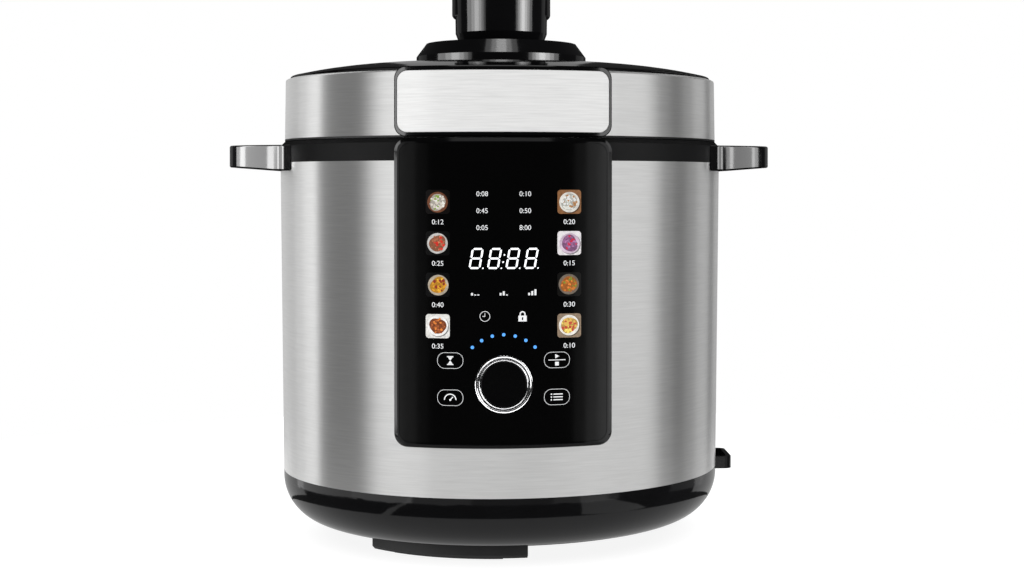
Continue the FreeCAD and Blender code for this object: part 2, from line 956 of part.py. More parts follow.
def make_inner_pot():
    corner = pot_corner + pot_wall
    low_centre = pot_inside + pot_corner
    flat = pot_outer_radius - corner
    pot = Outline(0, pot_bottom)
    pot.to(flat, pot_bottom)
    pot.round(flat, pot_bottom + corner, pot_outer_radius, pot_bottom + corner)
    pot.to(pot_outer_radius, pot_rim_top - pot_flange_thickness)
    pot.to(pot_outer_radius + pot_flange, pot_rim_top - pot_flange_thickness)
    pot.to(pot_outer_radius + pot_flange, pot_rim_top)
    pot.to(pot_radius, pot_rim_top)
    pot.to(pot_radius, low_centre)
    pot.round(pot_radius - pot_corner, low_centre, pot_radius - pot_corner, pot_inside)
    pot.to(0, pot_inside)
    return pot.turned()


def make_heating_plate():
    hub_inner = plate_hub_radius - plate_hub_wall
    plate = Outline(plate_bore, plate_bottom)
    plate.to(hub_inner, plate_bottom)
    plate.to(hub_inner, diaphragm_top)
    plate.to(plate_hub_radius, diaphragm_top)
    plate.to(plate_hub_radius, plate_bottom)
    plate.to(plate_radius, plate_bottom)
    plate.to(plate_radius, pot_bottom - plate_edge)
    plate.round(plate_radius - plate_edge, pot_bottom - plate_edge, plate_radius - plate_edge, pot_bottom)
    plate.to(plate_bore, pot_bottom)
    return plate.turned()


def terminal_places():
    half = terminal_spacing / 2
    return [Vector(-half, terminal_offset, 0), Vector(half, terminal_offset, 0)]


def make_heater_terminals():
    pins = []
    for place in terminal_places():
        pins.append(post(place.x, place.y, terminal_radius, plate_bottom - terminal_length, plate_bottom))
    return group(pins)


def make_diaphragm():
    return tube(diaphragm_bore, diaphragm_radius, liner_floor, diaphragm_top)


def switch_top():
    return liner_floor - switch_gap


def make_pressure_switch():
    low = switch_top() - switch_height
    body = block(
        switch_offset - switch_length / 2,
        switch_offset + switch_length / 2,
        -switch_width / 2,
        switch_width / 2,
        low,
        switch_top(),
    )
    tip = liner_floor - switch_plunger_gap
    plunger = post(switch_offset - switch_length / 4, 0, switch_plunger_radius, switch_top(), tip)
    return joined(body, [plunger])


def make_switch_bracket():
    near = switch_offset + switch_length / 2
    low = switch_top() - switch_height
    leaf = block(near, near + bracket_sheet, -switch_width / 2, switch_width / 2, low, liner_bottom)
    foot = block(
        near,
        near + bracket_reach,
        -switch_width / 2,
        switch_width / 2,
        liner_bottom - bracket_sheet,
        liner_bottom,
    )
    return joined(leaf, [foot])


def make_thermal_fuse():
    middle = liner_bottom - fuse_radius
    start = Vector(-fuse_offset, -fuse_length / 2, middle)
    body = Part.makeCylinder(fuse_radius, fuse_length, start, BACK)
    clip = block(
        -fuse_offset - fuse_radius * 2,
        -fuse_offset + fuse_radius * 2,
        -fuse_radius,
        fuse_radius,
        liner_bottom - bracket_sheet,
        liner_bottom,
    )
    return joined(body, [clip])


def sensor_lip_top():
    return plate_bottom - sensor_lip_gap


def strap_top():
    return sensor_lip_top() - sensor_lip_thickness - sensor_travel - sensor_strap_room


def make_sensor_cap():
    top = pot_bottom - sensor_gap
    lip_low = sensor_lip_top() - sensor_lip_thickness
    inner = sensor_radius - sensor_sheet
    cap = Outline(0, top - sensor_sheet)
    cap.to(inner, top - sensor_sheet)
    cap.to(inner, lip_low)
    cap.to(sensor_radius + sensor_lip, lip_low)
    cap.to(sensor_radius + sensor_lip, sensor_lip_top())
    cap.to(sensor_radius, sensor_lip_top())
    cap.to(sensor_radius, top)
    cap.to(0, top)
    return cap.turned()


def make_sensor_bracket():
    half = sensor_strap_half_length
    side = sensor_strap_width / 2
    low = strap_top() - sensor_strap_thickness
    strap = block(-half, half, -side, side, low, strap_top())
    legs = []
    for end in (-half, half - sensor_strap_thickness):
        legs.append(block(end, end + sensor_strap_thickness, -side, side, low, plate_bottom))
    return joined(strap, legs)


def make_sensor_spring():
    top = pot_bottom - sensor_gap - sensor_sheet
    return tube(spring_radius - spring_wire, spring_radius, strap_top(), top)


# Electrics in the base


def power_board_corners():
    x = power_board_length / 2 - board_inset
    y = power_board_width / 2 - board_inset
    corners = []
    for side in (-1, 1):
        for end in (-1, 1):
            corners.append(Vector(side * x, power_board_centre + end * y, 0))
    return corners


def make_power_board():
    half = power_board_length / 2
    return block(
        -half,
        half,
        power_board_centre - power_board_width / 2,
        power_board_centre + power_board_width / 2,
        power_board_top - board_thickness,
        power_board_top,
    )


def make_power_parts():
    top = power_board_top

    def part_block(middle, length, width, height):
        return block(
            middle - length / 2,
            middle + length / 2,
            power_board_centre - width / 2,
            power_board_centre + width / 2,
            top,
            top + height,
        )

    relay = part_block(-power_part_spacing, relay_length, relay_width, relay_height)
    transformer = part_block(0, transformer_length, transformer_width, transformer_height)
    capacitor = post(power_part_spacing, power_board_centre, capacitor_radius, top, top + capacitor_height)
    return group([relay, transformer, capacitor])


def make_power_inlet():
    flange_front = inlet_face - inlet_flange_thickness
    body = inlet_body(0, 0, flange_front - inlet_depth, flange_front)
    plate = inlet_plate(0, flange_front, inlet_face)
    socket = inlet_body(-inlet_wall, -inlet_wall, inlet_face - inlet_socket_depth, inlet_face)
    return joined(body, [plate]).cut(socket).cut(pin_shapes(seat_clearance))


def pin_shapes(extra):
    pins = []
    floor = inlet_face - inlet_socket_depth
    for place in (-1, 0, 1):
        x = place * pin_spacing
        drop = pin_height / 2 if place == 0 else -pin_height / 2
        low = inlet_centre() - pin_height / 2 + drop
        pins.append(
            block(
                x - pin_width / 2 - extra,
                x + pin_width / 2 + extra,
                floor - inlet_depth,
                floor + pin_length,
                low - extra,
                low + pin_height + extra,
            )
        )
    return pins


# Control panel


def panel_front_plane():
    """A plane well in front of the panel."""
    return -2 * shell_top_radius


def make_panel_frame():
    layer = wall_layer(panel_gap, panel_depth, panel_bottom - panel_corner, panel_top + panel_corner)
    plan = front_slab(panel_half_width, panel_bottom, panel_top, panel_corner, panel_front_plane(), 0)
    frame = layer.common(plan)
    front_edges = []
    for edge in frame.Edges:
        middle = edge.valueAt((edge.FirstParameter + edge.LastParameter) / 2)
        radius = math.hypot(middle.x, middle.y)
        if abs(radius - shell_radius(middle.z) - panel_depth) < panel_bevel / 2:
            front_edges.append(edge)
    frame = frame.makeChamfer(panel_bevel, front_edges)
    recess = wall_layer(panel_gap + panel_back, 2 * panel_depth, panel_bottom, panel_top)
    window = front_slab(
        panel_half_width - panel_border,
        panel_bottom + panel_border,
        panel_top - panel_border,
        panel_corner - panel_border / 2,
        panel_front_plane(),
        0,
    )
    opening = front_slab(
        panel_half_width - panel_opening_margin,
        panel_bottom + panel_opening_margin,
        panel_top - panel_opening_margin,
        panel_corner,
        panel_front_plane(),
        0,
    )
    frame = frame.cut([recess.common(window), opening])
    room = wall_layer(-shell_top_radius / 2, panel_gap + panel_back, panel_bottom, panel_top)
    bosses = []
    for corner in control_board_corners():
        boss = Part.makeCylinder(
            board_boss_radius,
            shell_top_radius - control_board_face,
            Vector(corner.x, -shell_top_radius, corner.z),
            BACK,
        )
        bosses.append(boss.common(room))
    return joined(frame, bosses)


def make_panel_lens():
    clearance = panel_border + seat_clearance
    layer = wall_layer(lens_back, lens_front, panel_bottom, panel_top)
    plan = front_slab(
        panel_half_width - clearance,
        panel_bottom + clearance,
        panel_top - clearance,
        panel_corner - panel_border / 2,
        panel_front_plane(),
        0,
    )
    bore = Part.makeCylinder(
        encoder_bush_radius + lens_bore_clearance,
        2 * shell_top_radius,
        Vector(0, 0, dial_centre),
        -BACK,
    )
    return layer.common(plan).cut(bore)


def control_board_corners():
    x = control_board_half_width - board_boss_inset
    low = panel_bottom + control_board_margin + board_boss_inset
    high = panel_top - control_board_margin - board_boss_inset
    corners = []
    for side in (-1, 1):
        for height in (low, high):
            corners.append(Vector(side * x, 0, height))
    return corners


def make_control_board():
    return block(
        -control_board_half_width,
        control_board_half_width,
        -control_board_face,
        -control_board_face + board_thickness,
        panel_bottom + control_board_margin,
        panel_top - control_board_margin,
    )


def make_display_module():
    return block(
        -display_length / 2,
        display_length / 2,
        -control_board_face - display_depth,
        -control_board_face,
        display_centre - display_height / 2,
        display_centre + display_height / 2,
    )


def dial_bar(radius, near, far):
    """A round bar on the dial's axis, between two distances in front of the body axis."""
    return Part.makeCylinder(radius, far - near, Vector(0, -near, dial_centre), -BACK)


def make_encoder_body():
    front = control_board_face + encoder_depth
    half = encoder_width / 2
    body = block(-half, half, -front, -control_board_face, dial_centre - half, dial_centre + half)
    bush = dial_bar(encoder_bush_radius, front, front + encoder_bush_length)
    bore_start = front - encoder_shaft_overlap - moving_clearance
    bore = dial_bar(encoder_shaft_radius + moving_clearance, bore_start, front + encoder_bush_length)
    return joined(body, [bush]).cut(bore)


def dial_back():
    return shell_radius(dial_centre) + lens_front + dial_gap


def dial_front():
    return dial_back() + dial_depth


def make_encoder_shaft():
    start = control_board_face + encoder_depth - encoder_shaft_overlap
    return dial_bar(encoder_shaft_radius, start, dial_back() + dial_socket_depth)


def make_dial_cap():
    front = dial_front() - dial_cap_recess
    cap = dial_bar(dial_cap_radius, dial_back(), front)
    rim = [edge for edge in cap.Edges if edge.CenterOfMass.y < -front + SLIGHT]
    cap = cap.makeFillet(dial_cap_edge, rim[:1])
    socket = dial_bar(encoder_shaft_radius + screw_clearance, dial_back(), dial_back() + dial_socket_depth)
    return cap.cut(socket)


def make_dial_ring():
    """A knurled ring with a round bead and a thin lip on its front, and a groove between them."""
    bore = dial_cap_radius + screw_clearance
    bead = dial_bead / 2
    groove = dial_depth - dial_groove_depth
    inner_bead = dial_radius - dial_bead
    ring = Outline(bore, 0)
    ring.to(dial_radius, 0)
    ring.to(dial_radius, dial_depth - bead)
    ring.through(dial_radius - bead, dial_depth, inner_bead, dial_depth - bead)
    ring.to(inner_bead, groove)
    ring.to(bore + dial_lip, groove)
    ring.through(bore + dial_lip / 2, dial_depth - dial_cap_recess, bore, groove)
    corners = []
    for step in range(2 * dial_knurl_count + 1):
        radius = dial_radius - (step % 2) * dial_knurl_depth
        corners.append(on_circle(radius, FULL_TURN * step / (2 * dial_knurl_count)))
    knurl = Part.Face(Part.makePolygon(corners)).extrude(UP * dial_depth)
    dial = ring.turned().common(knurl)
    dial.rotate(ORIGIN, RIGHT, FULL_TURN / 4)
    dial.translate(Vector(0, -dial_back(), dial_centre))
    return dial


# Lid


def make_lid_trim():
    band_inner = lid_radius - shell_sheet - seat_clearance
    trim = Outline(lid_trim_inner_radius, lid_bottom)
    trim.to(lid_radius, lid_bottom)
    trim.to(lid_radius, lid_band_bottom)
    trim.to(band_inner - lid_draft, lid_band_bottom)
    trim.to(band_inner - lid_draft, lid_band_bottom + lid_trim_upstand)
    trim.to(band_inner - lid_draft - lid_trim_upstand_wall, lid_band_bottom + lid_trim_upstand)
    trim.to(band_inner - lid_draft - lid_trim_upstand_wall, lid_band_bottom)
    trim.to(lid_trim_inner_radius, lid_band_bottom)
    return trim.turned()


def band_hole():
    return lid_radius - lid_draft - lid_band_edge - lid_band_return


def make_lid_band():
    top_radius = lid_radius - lid_draft
    shoulder = lid_band_top - lid_band_edge
    bend = top_radius - lid_band_edge
    band = Outline(lid_radius, lid_band_bottom)
    band.to(top_radius, shoulder)
    band.round(bend, shoulder, bend, lid_band_top)
    band.to(band_hole(), lid_band_top)
    band.to(band_hole(), lid_band_top - shell_sheet)
    band.to(bend, lid_band_top - shell_sheet)
    band.round(bend, shoulder, top_radius - shell_sheet, shoulder)
    band.to(lid_radius - shell_sheet, lid_band_bottom)
    return band.turned()


def cover_height(radius):
    """Height of the lid's crown at a radius, on the arc that the cover is turned from."""
    edge = Vector(cover_edge() - lid_cover_edge, lid_band_top + lid_cover_lip, 0)
    middle = Vector(cover_edge() - crown_run, lid_band_top + lid_cover_lip + crown_rise, 0)
    flat = Vector(flange_radius, lid_flat, 0)
    crown = Part.Arc(edge, middle, flat).toShape().Curve
    height = math.sqrt(crown.Radius**2 - (radius - crown.Center.x) ** 2)
    return crown.Center.y + height


def cover_edge():
    return band_hole() - seat_clearance


def make_lid_cover():
    edge_top = lid_band_top + lid_cover_lip
    skirt_low = lid_band_top - lid_cover_skirt
    inner_edge = cover_edge() - lid_cover_wall
    bead = cover_edge() - lid_cover_edge
    cover = Outline(0, lid_flat - lid_cover_wall)
    cover.to(flange_radius, lid_flat - lid_cover_wall)
    cover.through(
        cover_edge() - crown_run,
        edge_top + crown_rise - lid_cover_wall,
        inner_edge,
        edge_top - lid_cover_wall,
    )
    cover.to(inner_edge, skirt_low)
    cover.to(cover_edge(), skirt_low)
    cover.to(cover_edge(), edge_top - lid_cover_edge)
    cover.round(bead, edge_top - lid_cover_edge, bead, edge_top)
    cover.through(cover_edge() - crown_run, edge_top + crown_rise, flange_radius, lid_flat)
    cover.to(0, lid_flat)
    bearing_bottom = lid_flat - bearing_length
    added = [post(0, 0, shaft_radius + moving_clearance + bearing_wall, bearing_bottom, lid_flat)]
    removed = [post(0, 0, shaft_radius + moving_clearance, bearing_bottom, lid_flat)]
    hole_top = dish_top + dish_screw_length + screw_hole_spare
    for angle in around(spoke_count, dish_post_first_angle):
        place = on_circle(dish_post_circle, angle)
        added.append(post(place.x, place.y, dish_post_radius, dish_top, lid_flat - lid_cover_wall / 2))
        removed.append(post(place.x, place.y, screw_hole, dish_top, hole_top))
    well_top = cover_height(valve_offset) + valve_well_height
    well_inner = valve_well_radius - valve_well_wall
    well_floor = well_top - valve_well_height - lid_cover_wall
    added.append(post(0, valve_offset, valve_well_radius, well_floor, well_top))
    removed.append(post(0, valve_offset, well_inner, cover_height(valve_offset), well_top + lid_crown))
    removed.append(post(0, valve_offset, pipe_radius + moving_clearance, dish_top, well_top))
    collar_low = cover_height(valve_offset) - lid_cover_wall
    added.append(post(float_place.x, float_place.y, float_collar_radius, collar_low, float_collar_top()))
    removed.append(
        post(float_place.x, float_place.y, float_radius + moving_clearance, dish_top, float_collar_top())
    )
    return joined(cover.turned(), added).cut(removed)


def float_collar_top():
    return cover_height(valve_offset) + float_collar_height


def lid_patch(half_width, bottom, top, corner, inner, outer):
    """A rounded patch that follows the front of the lid, between two distances from its side."""
    layer = tube(lid_radius + inner, lid_radius + outer, bottom, top)
    return layer.common(front_slab(half_width, bottom, top, corner, panel_front_plane(), 0))


def plaque_low():
    return lid_bottom + plaque_bottom_gap


def make_plaque_frame():
    low = plaque_low()
    high = low + plaque_height
    width = plaque_frame_width
    outer = lid_patch(plaque_half_width, low, high, plaque_corner, panel_gap, plaque_frame_depth)
    front_edges = []
    for edge in outer.Edges:
        middle = edge.valueAt((edge.FirstParameter + edge.LastParameter) / 2)
        if abs(math.hypot(middle.x, middle.y) - lid_radius - plaque_frame_depth) < plaque_bevel / 2:
            front_edges.append(edge)
    outer = outer.makeChamfer(plaque_bevel, front_edges)
    inner = front_slab(
        plaque_half_width - width,
        low + plaque_frame_band,
        high - plaque_frame_band,
        plaque_corner - width / 2,
        panel_front_plane(),
        0,
    )
    return outer.cut(inner)


def make_lid_plaque():
    inset = plaque_frame_band + seat_clearance
    return lid_patch(
        plaque_half_width - plaque_frame_width - seat_clearance,
        plaque_low() + inset,
        plaque_low() + plaque_height - inset,
        plaque_corner - plaque_frame_width / 2,
        panel_gap,
        plaque_depth,
    )


def make_pressure_dish():
    wall_low = seal_bottom + seal_groove
    rack_outer = seal_rack_radius
    rack_inner = rack_outer - seal_rack_wall
    dish = Outline(0, dish_bottom)
    dish.to(rack_inner, dish_bottom)
    dish.to(rack_inner, dish_bottom - seal_rack_height)
    dish.to(rack_outer, dish_bottom - seal_rack_height)
    dish.to(rack_outer, dish_bottom)
    dish.to(dish_radius - dish_wall, dish_bottom)
    dish.to(dish_radius - dish_wall, wall_low)
    dish.to(dish_radius, wall_low)
    dish.to(dish_radius, dish_top)
    dish.to(0, dish_top)
    holes = [post(0, valve_offset, pipe_radius + screw_clearance, dish_bottom, dish_top)]
    holes.append(post(float_place.x, float_place.y, float_radius + moving_clearance, dish_bottom, dish_top))
    for angle in around(spoke_count, dish_post_first_angle):
        place = on_circle(dish_post_circle, angle)
        holes.append(post(place.x, place.y, screw_hole, dish_bottom, dish_top))
    return dish.turned().cut(holes)


def make_sealing_ring():
    inner = seal_radius - seal_width
    middle = (inner + seal_radius) / 2
    groove = seal_groove / 2
    seal = Outline(inner, seal_bottom)
    seal.to(seal_radius, seal_bottom)
    seal.to(seal_radius, seal_top)
    seal.to(inner, seal_top)
    seal.to(inner, seal_bottom + seal_groove + groove)
    seal.to(middle, seal_bottom + seal_groove)
    seal.to(inner, seal_bottom + groove)
    return seal.turned()


def make_dish_screws():
    screws = []
    for angle in around(spoke_count, dish_post_first_angle):
        place = on_circle(dish_post_circle, angle)
        tip = dish_top + dish_screw_length
        screws.append(upright_screw(place, dish_bottom - screw_head_height, dish_bottom, tip))
    return group(screws)


def make_knob_flange():
    wall = flange_wall
    side_top = lid_flat + flange_side
    flange = Outline(flange_radius - wall, lid_flat)
    flange.to(flange_radius, lid_flat)
    flange.to(flange_radius, side_top)
    flange.to(flange_top_radius, flange_top)
    flange.to(flange_bore, flange_top)
    flange.to(flange_bore, flange_top - wall)
    flange.to(flange_top_radius - wall / 2, flange_top - wall)
    flange.to(flange_radius - wall, side_top - wall / 2)
    return flange.turned()


# Lid lock


def make_lid_knob():
    edge = knob_top_edge
    stem = Outline(0, knob_bottom)
    stem.to(knob_foot_radius, knob_bottom)
    stem.to(knob_radius, knob_bottom + knob_foot_height)
    stem.to(knob_top_radius, knob_top - edge)
    stem.round(knob_top_radius - edge, knob_top - edge, knob_top_radius - edge, knob_top)
    stem.to(0, knob_top)
    low = knob_bottom + knob_wing_lift
    oval = Part.Ellipse(Vector(0, 0, low), knob_wing_length / 2, knob_wing_width / 2)
    wings = Part.Face(Part.Wire([oval.toShape()])).extrude(UP * (knob_top - low))
    wings = soft_end(wings, knob_top, edge)
    wings = soft_end(wings, low, knob_wing_edge)
    knob = joined(stem.turned(), [wings])
    socket = post(0, 0, shaft_radius + screw_clearance, knob_bottom, knob_bottom + shaft_socket)
    seat_low = knob_top - knob_cap_thickness - knob_cap_recess
    seat = post(0, 0, knob_cap_radius + seat_clearance, seat_low, knob_top)
    return knob.cut([socket, seat])


def soft_end(shape, height, radius):
    """Round the edges that lie at a height."""
    level = []
    for edge in shape.Edges:
        flat = edge.BoundBox.ZLength < SLIGHT
        if flat and abs(edge.BoundBox.ZMin - height) < SLIGHT:
            level.append(edge)
    return shape.makeFillet(radius, level)


def make_knob_cap():
    low = knob_top - knob_cap_thickness - knob_cap_recess
    disc = post(0, 0, knob_cap_radius, low, low + knob_cap_thickness)
    upper = [edge for edge in disc.Edges if edge.CenterOfMass.z > low + knob_cap_thickness / 2]
    return disc.makeFillet(knob_cap_recess, upper[:1])


def make_knob_shaft():
    shaft = post(0, 0, shaft_radius, lock_plate_top, knob_bottom + shaft_socket)
    hole_top = lock_plate_top + shaft_screw_length + screw_hole_spare
    return shaft.cut(post(0, 0, screw_hole, lock_plate_top, hole_top))


def make_shaft_screw():
    tip = lock_plate_top + shaft_screw_length
    return upright_screw(ORIGIN, lock_plate_bottom - screw_head_height, lock_plate_bottom, tip)


def make_lock_plate():
    ring = tube(lock_skirt_radius - lock_ring_width, lock_skirt_radius, lock_plate_bottom, lock_plate_top)
    skirt = tube(lock_skirt_inner, lock_skirt_radius, lug_bottom, lock_plate_top)
    added = [skirt, post(0, 0, lock_hub_radius, lock_plate_bottom, lock_plate_top)]
    for angle in around(spoke_count, spoke_first_angle):
        spoke = block(
            0,
            lock_skirt_inner,
            -spoke_width / 2,
            spoke_width / 2,
            lock_plate_bottom,
            lock_plate_top,
        )
        spoke.rotate(ORIGIN, UP, angle)
        added.append(spoke)
    for angle in around(tooth_count, lock_angle):
        lug = Outline(lock_skirt_inner + lock_plate_sheet / 2, lug_bottom)
        lug.to(lug_radius, lug_bottom)
        lug.to(lug_radius, lug_top)
        lug.to(lock_skirt_inner + lock_plate_sheet / 2, lug_top)
        added.append(lug.swept(angle - lug_span / 2, lug_span))
    return joined(ring, added).cut(post(0, 0, screw_hole, lock_plate_bottom, lock_plate_top))


# Valves


def make_vent_pipe():
    low = dish_bottom - pipe_tail
    high = cover_height(valve_offset) + pipe_rise
    pipe = post(0, valve_offset, pipe_radius, low, high)
    collar = post(0, valve_offset, pipe_collar_radius, dish_top, dish_top + pipe_collar_height)
    return joined(pipe, [collar]).cut(post(0, valve_offset, pipe_bore, low, high))


def make_shield():
    low = dish_bottom - shield_height
    cup = post(0, valve_offset, shield_radius, low, dish_bottom)
    room = post(0, valve_offset, shield_radius - shield_sheet, low + shield_sheet, dish_bottom)
    slots = []
    for angle in around(shield_slot_count // 2, 0):
        half = shield_slot_width / 2
        slot = block(
            -2 * shield_radius,
            2 * shield_radius,
            -half,
            half,
            low + 2 * shield_sheet,
            dish_bottom - 2 * shield_sheet,
        )
        slot.rotate(ORIGIN, UP, angle / 2)
        slot.translate(valve_place)
        slots.append(slot)
    return cup.cut([room] + slots)


def make_steam_valve():
    low = cover_height(valve_offset) + valve_lift
    high = low + valve_height
    body = post(0, valve_offset, valve_radius, low, high)
    lever = block(
        -valve_lever_width / 2,
        valve_lever_width / 2,
        valve_offset,
        valve_offset + valve_lever_length,
        high - valve_lever_height,
        high,
    )
    outer = [edge for edge in edges_along(lever, UP) if edge.CenterOfMass.y > valve_offset]
    lever = lever.makeFillet(valve_lever_end, outer)
    handle = joined(body, [lever])
    top_edges = [edge for edge in handle.Edges if edge.BoundBox.ZMin > high - valve_edge / 2]
    handle = handle.makeFillet(valve_edge, top_edges)
    return handle.cut(post(0, valve_offset, pipe_radius + moving_clearance, low, high - valve_roof))


def make_float_pin():
    head_low = float_collar_top() + float_head_gap
    low = float_seal_top() - float_seal_height / 2
    pin = post(float_place.x, float_place.y, float_radius, low, head_low)
    head = post(float_place.x, float_place.y, float_head_radius, head_low, head_low + float_head_height)
    return joined(pin, [head])


def float_seal_top():
    return dish_bottom - float_travel - float_seal_gap


def make_float_seal():
    top = float_seal_top()
    cap = post(float_place.x, float_place.y, float_seal_radius, top - float_seal_height, top)
    return cap.cut(post(float_place.x, float_place.y, float_radius, top - float_seal_height / 2, top))


# Condensate cup


def cup_front():
    return shell_radius(cup_top) + cup_bracket_plate + cup_gap


def make_cup_bracket():
    half = cup_width / 2 + cup_ear + rail_wall
    front = shell_radius(cup_top) / 2
    plate_back = cup_front() - cup_gap
    ear_low = cup_top - cup_ear_thickness
    low = ear_low - moving_clearance - rail_wall
    high = cup_top + moving_clearance + rail_wall
    plate = block(-half, half, front, plate_back, low, high)
    rails = []
    for side in (-1, 1):
        outer = side * half
        inner = side * (cup_width / 2 + moving_clearance)
        floor_top = ear_low - moving_clearance
        rail_back = cup_front() + cup_depth
        span = sorted([inner, outer])
        rails.append(block(span[0], span[1], front, rail_back, low, floor_top))
        wall = sorted([outer, outer - side * (rail_wall - moving_clearance)])
        rails.append(block(wall[0], wall[1], front, rail_back, low, high))
        rails.append(block(span[0], span[1], front, rail_back, cup_top + moving_clearance, high))
    inside = post(0, 0, shell_radius(high) + panel_gap, low, high)
    return joined(plate, rails).cut(inside)


def make_condensate_cup():
    half = cup_width / 2
    front = cup_front()
    back = front + cup_depth
    low = cup_top - cup_height
    shape = rounded(block(-half, half, front, back, low, cup_top), UP, cup_corner)
    inner = half - cup_wall
    room = block(-inner, inner, front + cup_wall, back - cup_wall, low + cup_wall, cup_top)
    shape = shape.cut(rounded(room, UP, cup_corner - cup_wall))
    ears = []
    for side in (-1, 1):
        span = sorted([side * (half - cup_wall / 2), side * (half + cup_ear)])
        ears.append(
            block(
                span[0],
                span[1],
                front + cup_corner,
                back - cup_corner,
                cup_top - cup_ear_thickness,
                cup_top,
            )
        )
    return joined(shape, ears)


def build():
    feet, pads = make_feet()
    return {
        "base_cover": make_base_cover(),
        "arc_feet": feet,
        "foot_pads": pads,
        "base_screws": make_base_screws(),
        "support_posts": make_support_posts(),
        "ladle_loop": make_ladle_loop(),
        "outer_shell": make_outer_shell(),
        "upper_rim": make_upper_rim(),
        "left_handle": make_handle(-1),
        "right_handle": make_handle(1),
        "handle_screws": make_handle_screws(),
        "rim_screws": make_rim_screws(),
        "lock_ring": make_lock_ring(),
        "liner_can": make_liner_can(),
        "inner_pot": make_inner_pot(),
        "heating_plate": make_heating_plate(),
        "heater_terminals": make_heater_terminals(),
        "pressure_diaphragm": make_diaphragm(),
        "pressure_switch": make_pressure_switch(),
        "switch_bracket": make_switch_bracket(),
        "thermal_fuse": make_thermal_fuse(),
        "sensor_bracket": make_sensor_bracket(),
        "sensor_spring": make_sensor_spring(),
        "sensor_cap": make_sensor_cap(),
        "power_board": make_power_board(),
        "power_parts": make_power_parts(),
        "power_inlet": make_power_inlet(),
        "inlet_pins": group(pin_shapes(0)),
        "panel_frame": make_panel_frame(),
        "panel_lens": make_panel_lens(),
        "control_board": make_control_board(),
        "display_module": make_display_module(),
        "encoder_body": make_encoder_body(),
        "encoder_shaft": make_encoder_shaft(),
        "dial_cap": make_dial_cap(),
        "dial_ring": make_dial_ring(),
        "cup_bracket": make_cup_bracket(),
        "condensate_cup": make_condensate_cup(),
        "lid_trim": make_lid_trim(),
        "lid_band": make_lid_band(),
        "lid_cover": make_lid_cover(),
        "plaque_frame": make_plaque_frame(),
        "lid_plaque": make_lid_plaque(),
        "pressure_dish": make_pressure_dish(),
        "sealing_ring": make_sealing_ring(),
        "dish_screws": make_dish_screws(),
        "knob_flange": make_knob_flange(),
        "lid_knob": make_lid_knob(),
        "knob_cap": make_knob_cap(),
        "knob_shaft": make_knob_shaft(),
        "shaft_screw": make_shaft_screw(),
        "lock_plate": make_lock_plate(),
        "vent_pipe": make_vent_pipe(),
        "anti_block_shield": make_shield(),
        "steam_valve": make_steam_valve(),
        "float_pin": make_float_pin(),
        "float_seal": make_float_seal(),
    }


os.makedirs("parts", exist_ok=True)
for name, shape in build().items():
    shape.exportStep("parts/" + name + ".step")
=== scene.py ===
import json
import math
import random

import bmesh
import bpy
from bpy.props import FloatProperty, FloatVectorProperty, IntProperty, PointerProperty
from mathutils import Euler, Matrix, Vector
from mathutils.bvhtree import BVHTree


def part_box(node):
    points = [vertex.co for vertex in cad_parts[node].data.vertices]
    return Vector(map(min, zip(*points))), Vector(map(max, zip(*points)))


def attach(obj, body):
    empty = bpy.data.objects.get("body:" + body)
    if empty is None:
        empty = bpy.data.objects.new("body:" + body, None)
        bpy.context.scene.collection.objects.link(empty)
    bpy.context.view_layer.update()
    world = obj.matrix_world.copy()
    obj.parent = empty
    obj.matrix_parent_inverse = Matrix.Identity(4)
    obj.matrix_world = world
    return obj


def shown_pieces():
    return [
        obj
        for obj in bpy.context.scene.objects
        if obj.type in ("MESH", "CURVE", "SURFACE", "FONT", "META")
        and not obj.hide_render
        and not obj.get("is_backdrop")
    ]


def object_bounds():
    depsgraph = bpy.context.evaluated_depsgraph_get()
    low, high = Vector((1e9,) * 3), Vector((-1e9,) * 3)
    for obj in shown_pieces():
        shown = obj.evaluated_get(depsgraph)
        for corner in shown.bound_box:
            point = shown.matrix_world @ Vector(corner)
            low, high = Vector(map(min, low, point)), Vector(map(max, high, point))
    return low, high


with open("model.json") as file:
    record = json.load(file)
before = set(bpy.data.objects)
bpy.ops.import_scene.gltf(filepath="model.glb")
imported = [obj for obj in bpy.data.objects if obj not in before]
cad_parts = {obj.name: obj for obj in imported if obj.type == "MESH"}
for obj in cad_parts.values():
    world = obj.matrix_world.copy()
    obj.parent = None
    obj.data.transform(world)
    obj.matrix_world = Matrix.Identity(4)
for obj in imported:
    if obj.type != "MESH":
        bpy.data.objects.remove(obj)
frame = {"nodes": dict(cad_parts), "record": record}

bl_info = {
    "name": "Pressure cooker looks",
    "version": (1, 0, 0),
    "blender": (4, 5, 0),
    "location": "3D View > Sidebar > Cooker",
    "description": "Finishes, control panel print and studio for an electric pressure cooker",
    "category": "Object",
}

CAD_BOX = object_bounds()
PHOTO_WIDTH = 1024
MILLIMETRE = 0.001
NODE_SLOTS = {part["node"]: part["material_slot"] for part in frame["record"]["subparts"]}
# Most of a noise's values lie between these two
NOISE_LOW = 0.3
NOISE_HIGH = 0.7
# Glow of the printed and lit layers on the panel
INK_GLOW = 0.7
DIGIT_GLOW = 1.1
DOT_GLOW = 0.9
PICTURE_GLOW = 0.6
# Height of a dot's dome as a share of its radius, and corner radius of a key outline as a share of its height
DOT_DOME = 0.25
KEY_CORNER = 0.46


# Sizes and colours that a user would change


def length(name, description, default):
    return FloatProperty(name=name, description=description, default=default, unit="LENGTH", precision=5)


def colour(name, description, default):
    return FloatVectorProperty(
        name=name, description=description, default=default, subtype="COLOR", min=0.0, max=1.0
    )


